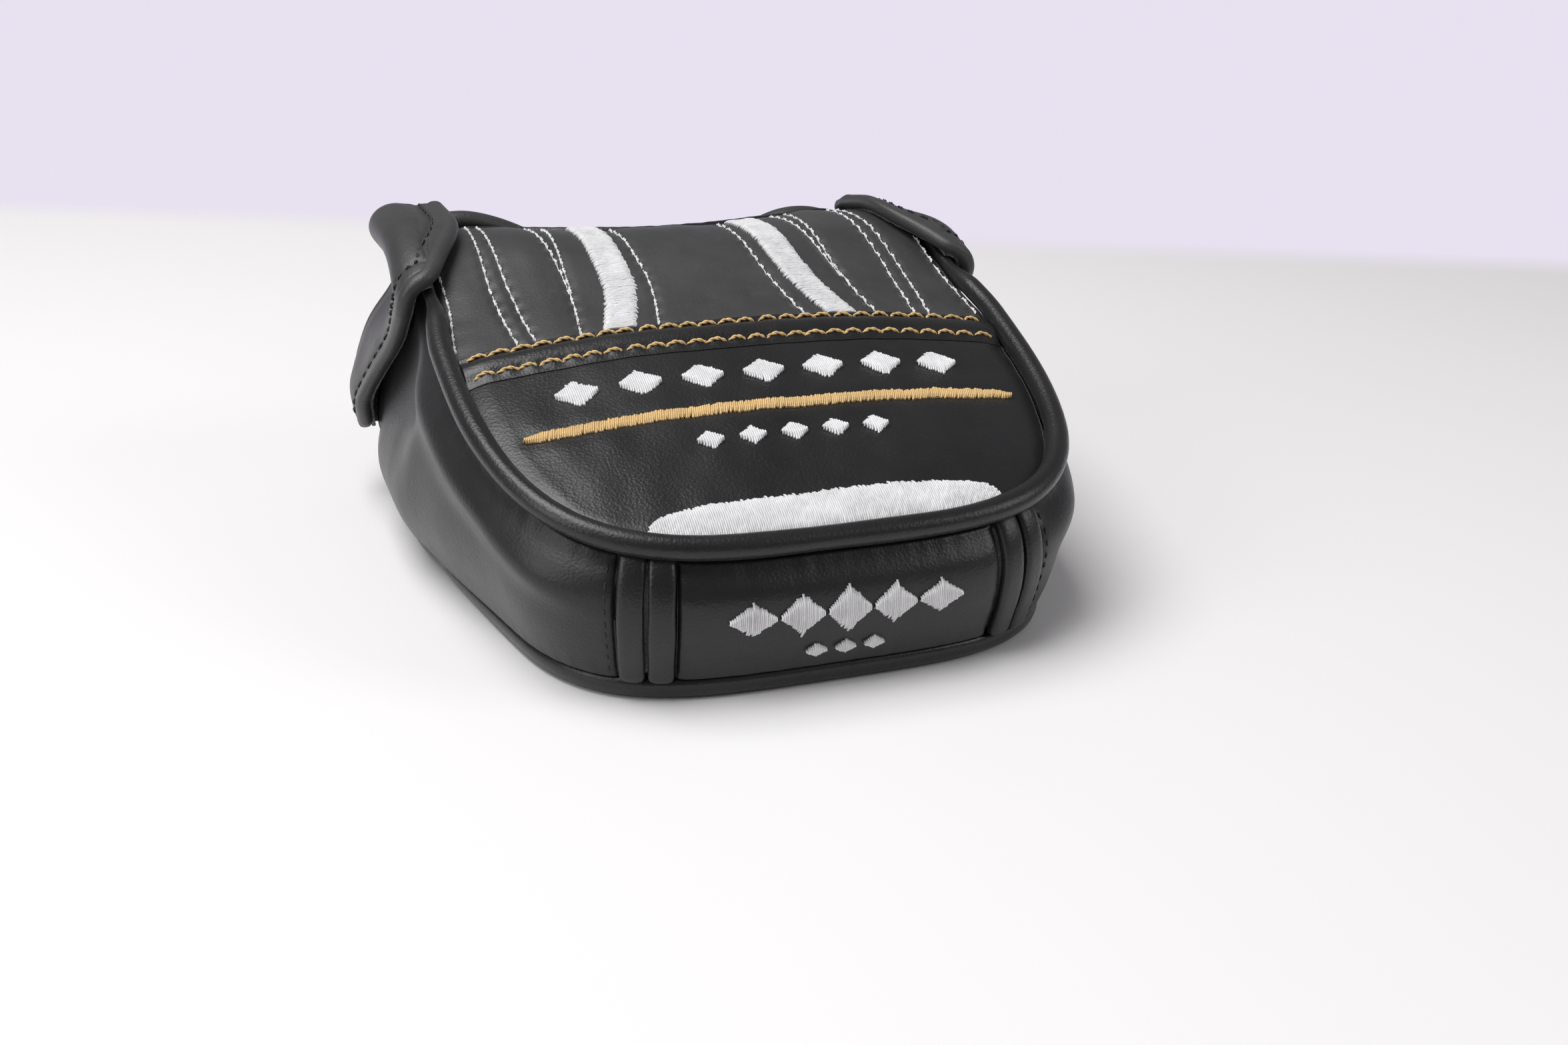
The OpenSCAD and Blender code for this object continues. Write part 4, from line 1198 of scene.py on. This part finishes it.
def wing_at(w, y, o, edge):
    """Profile of a wing: w runs from the sole seam up the side, round the corner and in over the top."""
    w, y, o = np.broadcast_arrays(np.asarray(w, float), np.asarray(y, float), np.asarray(o, float))
    zf = ear_floor(y)
    zc = zf - WING_CORNER
    xc = WING_X - WING_CORNER
    r = WING_CORNER + o
    g = np.radians(90 * np.clip((w - WING_A) / (WING_B - WING_A), 0, 1))
    side = np.stack([WING_X + o, y, mix(WING_LOW_Z, zc, w / WING_A)], -1)
    corner = np.stack([xc + r * np.cos(g), y, zc + r * np.sin(g)], -1)
    ear = np.stack([mix(xc, edge, (w - WING_B) / (1 - WING_B)), y, zf + o], -1)
    return np.where((w <= WING_A)[..., None], side, np.where((w <= WING_B)[..., None], corner, ear))


def wing_puff(w, y, side):
    """How far the padded wing stands out: a lobe at the ear, a pinch under it and a swell lower down."""
    f = smooth(WING_BACK_Y + 10, WING_FRONT_Y - 6, y)
    lobe = (1.1 if side < 0 else 0.4) * bump(0.72, 0.12, w) * (0.25 + 0.75 * f)
    pinch = 1.9 * bump(0.585, 0.05, w) * bump(26, 12, y)
    return lobe - pinch + 0.9 * bump(0.30, 0.2, w) + 0.3 * lumps(w * 60, y, 19, 81)


def wing_grid(nu, nv, w0, inset):
    """Grid over a wing from share w0 of its profile, drawn in from its free edge by inset."""
    u, v = uv(nu, nv, 0.35)
    w = mix(w0, 1, u)
    y = mix(wing_back(w) + inset, WING_FRONT_Y, v)
    edge = np.minimum(WING_X - WING_CORNER - 0.4, ear_edge(y) + inset)
    return u, v, w, y, edge


def mirrored(points, side):
    points = np.array(points, float)
    points[..., 0] *= side
    return drape(points, side)


def wing_border(w, y):
    """Distance in mm from the wing's free edge; only the part over the top has a side edge."""
    back = y - wing_back(w)
    ear = (1 - w) / (1 - WING_B) * (WING_X - WING_CORNER - ear_edge(y))
    return np.minimum(back, np.where(w > WING_B, ear, 99.0))


def wing_layers(side_name, side):
    """Leather, interlining and plush of a wing, each between two distances from its inner face."""
    def layer(name, low, high, material, slot, node):
        inner, outer = (mirrored(wing_at(w, y, o, edge), side) for o in (low, high))
        return add_shell(f"{side_name}_wing_{name}", outer, inner, material, f"{side_name}_wing", slot,
                         [f"wing_{side_name}_{node}"])

    u, v, w, y, edge = wing_grid(150, 110, 0.0, 1.0)
    border = wing_border(w, y)
    calm = smooth(2.0, 9.0, border) * smooth(0, 0.1, w)
    groove = 0.3 * bump(HEM_STITCH, 0.8, border)
    thick = WING_SKIN_T * (0.25 + 0.75 * edge_round(u, v, 75, 40, 1.5))
    front = smooth(WING_FRONT_Y - 5, WING_FRONT_Y, y)
    o = WING_SKIN_O + thick + wing_puff(w, y, side) * calm * (1 - 0.55 * front) - groove
    o = o + 0.06 * lumps(w * 70, y, 4.5, 82, 5) * bump(6.4, 4, border)
    cover = layer("leather", WING_SKIN_O, o, GREY, "leather_soft", "cover")
    u, v, w, y, edge = wing_grid(70, 50, 0.42, 2.1)
    interlining = layer("padding", 1.0, 2.0, FOAM, "foam", "interlining")
    u, v, w, y, edge = wing_grid(120, 80, 0.0, 1.5)
    layer("plush", 0.12 + 0.12 * lumps(w * 80, y, 2.6, 83, 8), 0.9, PLUSH, "plush", "lining")
    return [(cover, 0.6), (interlining, 0.5)]


HEM_STITCH = 4.9         # distance of the wing's top stitching from its free edge


def hem_path(q, inset, o):
    """Smooth line that follows the wing's free edge, inset mm inside it and o mm off its inner face."""
    w = mix(0.015, WING_B, np.clip(q / 0.6, 0, 1))
    up = wing_at(w, wing_back(w) + inset, o, 0)
    y = mix(WING_BACK_Y + inset, WING_FRONT_Y - 0.1, np.clip((q - 0.6) / 0.4, 0, 1))
    over = wing_at(np.ones_like(y), y, o, ear_edge(y) + inset)
    return smooth_path(np.where((q < 0.6)[..., None], up, over), 61, mode="reflect", reflect_type="odd")


def add_on_wing(name, points, faces, material, side_name, side, replaces=()):
    """A wing's piece modelled on the right side; mirroring it to the left turns its faces over."""
    faces = faces if side > 0 else [f[::-1] for f in faces]
    return add_mesh(f"{side_name}_wing_{name}", mirrored(points, side), faces, material, f"{side_name}_wing",
                    "leather_soft", replaces)


def wing_hem(side_name, side):
    q = np.linspace(0, 1, 420)
    path = hem_path(q, HEM_HALF - 0.6, WING_SKIN_O + 0.1)
    across = unit(hem_path(q, HEM_HALF + 4, WING_SKIN_O + 0.1) - path)
    wave = 1 + 0.05 * lumps(q * 110, 0 * q, 13, 84, 5)
    end = np.sqrt(np.clip(1 - np.clip((0.03 - q) / 0.03, 0, 1) ** 2, 0.05, 1))
    points, faces = tube(path, across, HEM_HALF * wave * end, 1.6 * wave * end, 24, 0.9)
    return add_on_wing("rolled_hem", points, faces, GREY, side_name, side, [f"wing_{side_name}_hem"])


def wing_topstitch(side_name, side):
    base = np.linspace(0, 1, 500)
    line = hem_path(base, HEM_STITCH, WING_SKIN_O + WING_SKIN_T - 0.05)
    norm = unit(hem_path(base, HEM_STITCH, WING_SKIN_O + WING_SKIN_T + 2.0) - line)

    def sample(values, q):
        return np.stack([np.interp(0.02 + 0.96 * q, base, column) for column in values.T], -1)
    points, faces = stitch_mesh(lambda q: sample(line, q), lambda q: unit(sample(norm, q)), 30, 0.7, 0.2,
                                0.14, 1, 0.2, 0.25, seed=85)
    return add_on_wing("topstitching", points, faces, DARK_THREAD, side_name, side)


def wing_corner(side_name, side):
    """Leather that turns the corner from the flap to the wing, curved round the wing's fold; it stays in
    place and follows neither.
    """
    w, t = np.meshgrid(np.linspace(0.03, WING_B, 90), np.linspace(0, 1, 22), indexing="ij")
    g = t * np.pi / 2
    at = wing_at(w, WING_FRONT_Y - 3 + 0 * w, 0 * w, 0)
    x = at[..., 0] - WING_X
    cx, cy, r = WING_X - 1.2, FLAP_Y + 0.2, 4.6

    def face(radius):
        return mirrored(np.stack([cx + x * 0.9 + radius * np.cos(g), cy + radius * np.sin(g) * 1.08,
                                  at[..., 2]], -1), side)
    outer = face(r + wing_puff(w, WING_FRONT_Y + 0 * w, side) * 0.45)
    start = Vector((side * (WING_X - 0.5) / MM, (FLAP_Y + 4.2 + SHIFT) / MM, 0.03))
    end = Vector((side * (WING_X + 3.2) / MM, (FLAP_Y - 0.2 + SHIFT) / MM, 0.03))
    return add_shell(f"{side_name}_corner_leather", outer, face(r - 1.3), GREY,
                     (FLAP, f"{side_name}_wing", start, end), "leather_soft")


for side_name, side in SIDES:
    padded_pieces += wing_layers(side_name, side)
    wing_hem(side_name, side)
    wing_topstitch(side_name, side)
    wing_corner(side_name, side)

# ---- magnets, and the one carried-over CAD piece, inside the sole ----
def magnet(node, body):
    """A plated disc with a rounded rim, at the CAD magnet's place in the stuffed wall."""
    low, high = cad(node)
    centre, half = (low + high) / 2, (high - low) / 2
    sides = 48
    a = np.linspace(0, 2 * np.pi, sides, endpoint=False)
    profile = [(-1, 0.93), (-0.7, 1.0), (0.7, 1.0), (1, 0.93)]
    rings = np.array([[(t * half[0], r * half[1] * math.cos(b), r * half[2] * math.sin(b)) for b in a]
                      for t, r in profile])
    points = rings.reshape(-1, 3) + settle(centre[None])[0]
    faces = grid_faces(len(profile), sides, close_cols=True)
    if volume_sign(points, faces) < 0:
        faces = faces[:, ::-1]
    ends = [list(range(sides)), list(range(len(points) - 1, len(points) - 1 - sides, -1))]
    return add_mesh(node + "_disc", points, faces.tolist() + ends, STEEL, body, "steel", [node], settled=True)


for side_name, _ in SIDES:
    magnet(f"gusset_magnet_{side_name}", SHELL)
    magnet(f"wing_{side_name}_magnet", f"{side_name}_wing")

frame["nodes"]["sole_board"].data.materials.clear()
frame["nodes"]["sole_board"].data.materials.append(BOARD)
# ---- camera, at the photograph's angle: degrees, and millimetres from the widest station ----
AZ, EL, ROLL = (math.radians(a) for a in (-21.64, 23.12, 2.17))
DISTANCE, OFF_X, OFF_Y = 368.5, -16.47, -0.55
back = Vector((math.sin(AZ) * math.cos(EL), -math.cos(AZ) * math.cos(EL), math.sin(EL)))
right0 = Vector((math.cos(AZ), math.sin(AZ), 0))
up0 = back.cross(right0)
right = math.cos(ROLL) * right0 + math.sin(ROLL) * up0
up = -math.sin(ROLL) * right0 + math.cos(ROLL) * up0
eye = (back * DISTANCE - right * OFF_X - up * OFF_Y + Vector((0, SHIFT, 0))) / MM
camera = bpy.data.objects.new("camera", bpy.data.cameras.new("camera"))
camera.data.lens = 39.6
camera.data.sensor_width = 36
camera.data.clip_start = 0.01
camera.matrix_world = Matrix(((right.x, up.x, back.x, eye.x), (right.y, up.y, back.y, eye.y),
                              (right.z, up.z, back.z, eye.z), (0, 0, 0, 1)))
bpy.context.scene.collection.objects.link(camera)
bpy.context.scene.camera = camera

# ---- floor, backdrop and light ----
# The white floor ends in a soft edge behind the cover; beyond it lies a lilac backdrop
EDGE_BEHIND, EDGE_SOFT = 0.271, 0.012
BACKDROP = (0.69, 0.645, 0.755)


def floor_material():
    material, tree, shader = new_material("floor_and_backdrop")
    coords = tree.nodes.new("ShaderNodeTexCoord")
    along = tree.nodes.new("ShaderNodeVectorMath")
    along.operation = "DOT_PRODUCT"
    feed(tree, along, {0: coords.outputs["Object"], 1: Vector((-back.x, -back.y, 0)).normalized()})
    beyond = ramp(tree, along.outputs["Value"], EDGE_BEHIND - EDGE_SOFT, EDGE_BEHIND + EDGE_SOFT)
    mottle = noise(tree, mm_coordinates(tree), 0.004, 2.0, 0.5)
    near = blend_colours(tree, mottle, (0.84, 0.825, 0.825), (0.81, 0.80, 0.805))
    feed(tree, shader, {"Base Color": blend_colours(tree, beyond, near, (0.02, 0.02, 0.02)),
                        "Emission Color": (*BACKDROP, 1),
                        "Emission Strength": math_node(tree, "MULTIPLY", beyond, 1.1), "Roughness": 0.45,
                        "Specular IOR Level": 0.25})
    return material


def floor(half):
    mesh = bpy.data.meshes.new("floor")
    corners = [(-half, -half, 0), (half, -half, 0), (half, half, 0), (-half, half, 0)]
    mesh.from_pydata(corners, [], [[0, 1, 2, 3]])
    mesh.materials.append(floor_material())
    plane = bpy.data.objects.new("floor", mesh)
    bpy.context.scene.collection.objects.link(plane)


def softbox(name, place, size, power):
    light = bpy.data.lights.new(name, "AREA")
    light.shape = "RECTANGLE"
    light.size, light.size_y = size
    light.energy = power
    lamp = bpy.data.objects.new(name, light)
    lamp.location = place
    lamp.rotation_euler = (Vector((0, 0, 0.03)) - Vector(place)).to_track_quat("-Z", "Y").to_euler()
    bpy.context.scene.collection.objects.link(lamp)


floor(4)
softbox("softbox_top", (-0.35, 0.05, 0.95), (0.8, 0.6), 10.8)
softbox("softbox_left", (-0.95, -0.25, 0.5), (0.5, 0.6), 2.8)
softbox("softbox_right", (0.85, -0.55, 0.65), (0.5, 0.5), 2.4)
world = bpy.data.worlds.new("studio")
world.use_nodes = True
feed(world.node_tree, world.node_tree.nodes["Background"], {"Color": (0.95, 0.93, 0.97, 1), "Strength": 0.2})
bpy.context.scene.world = world
bpy.context.scene.view_settings.view_transform = "Standard"
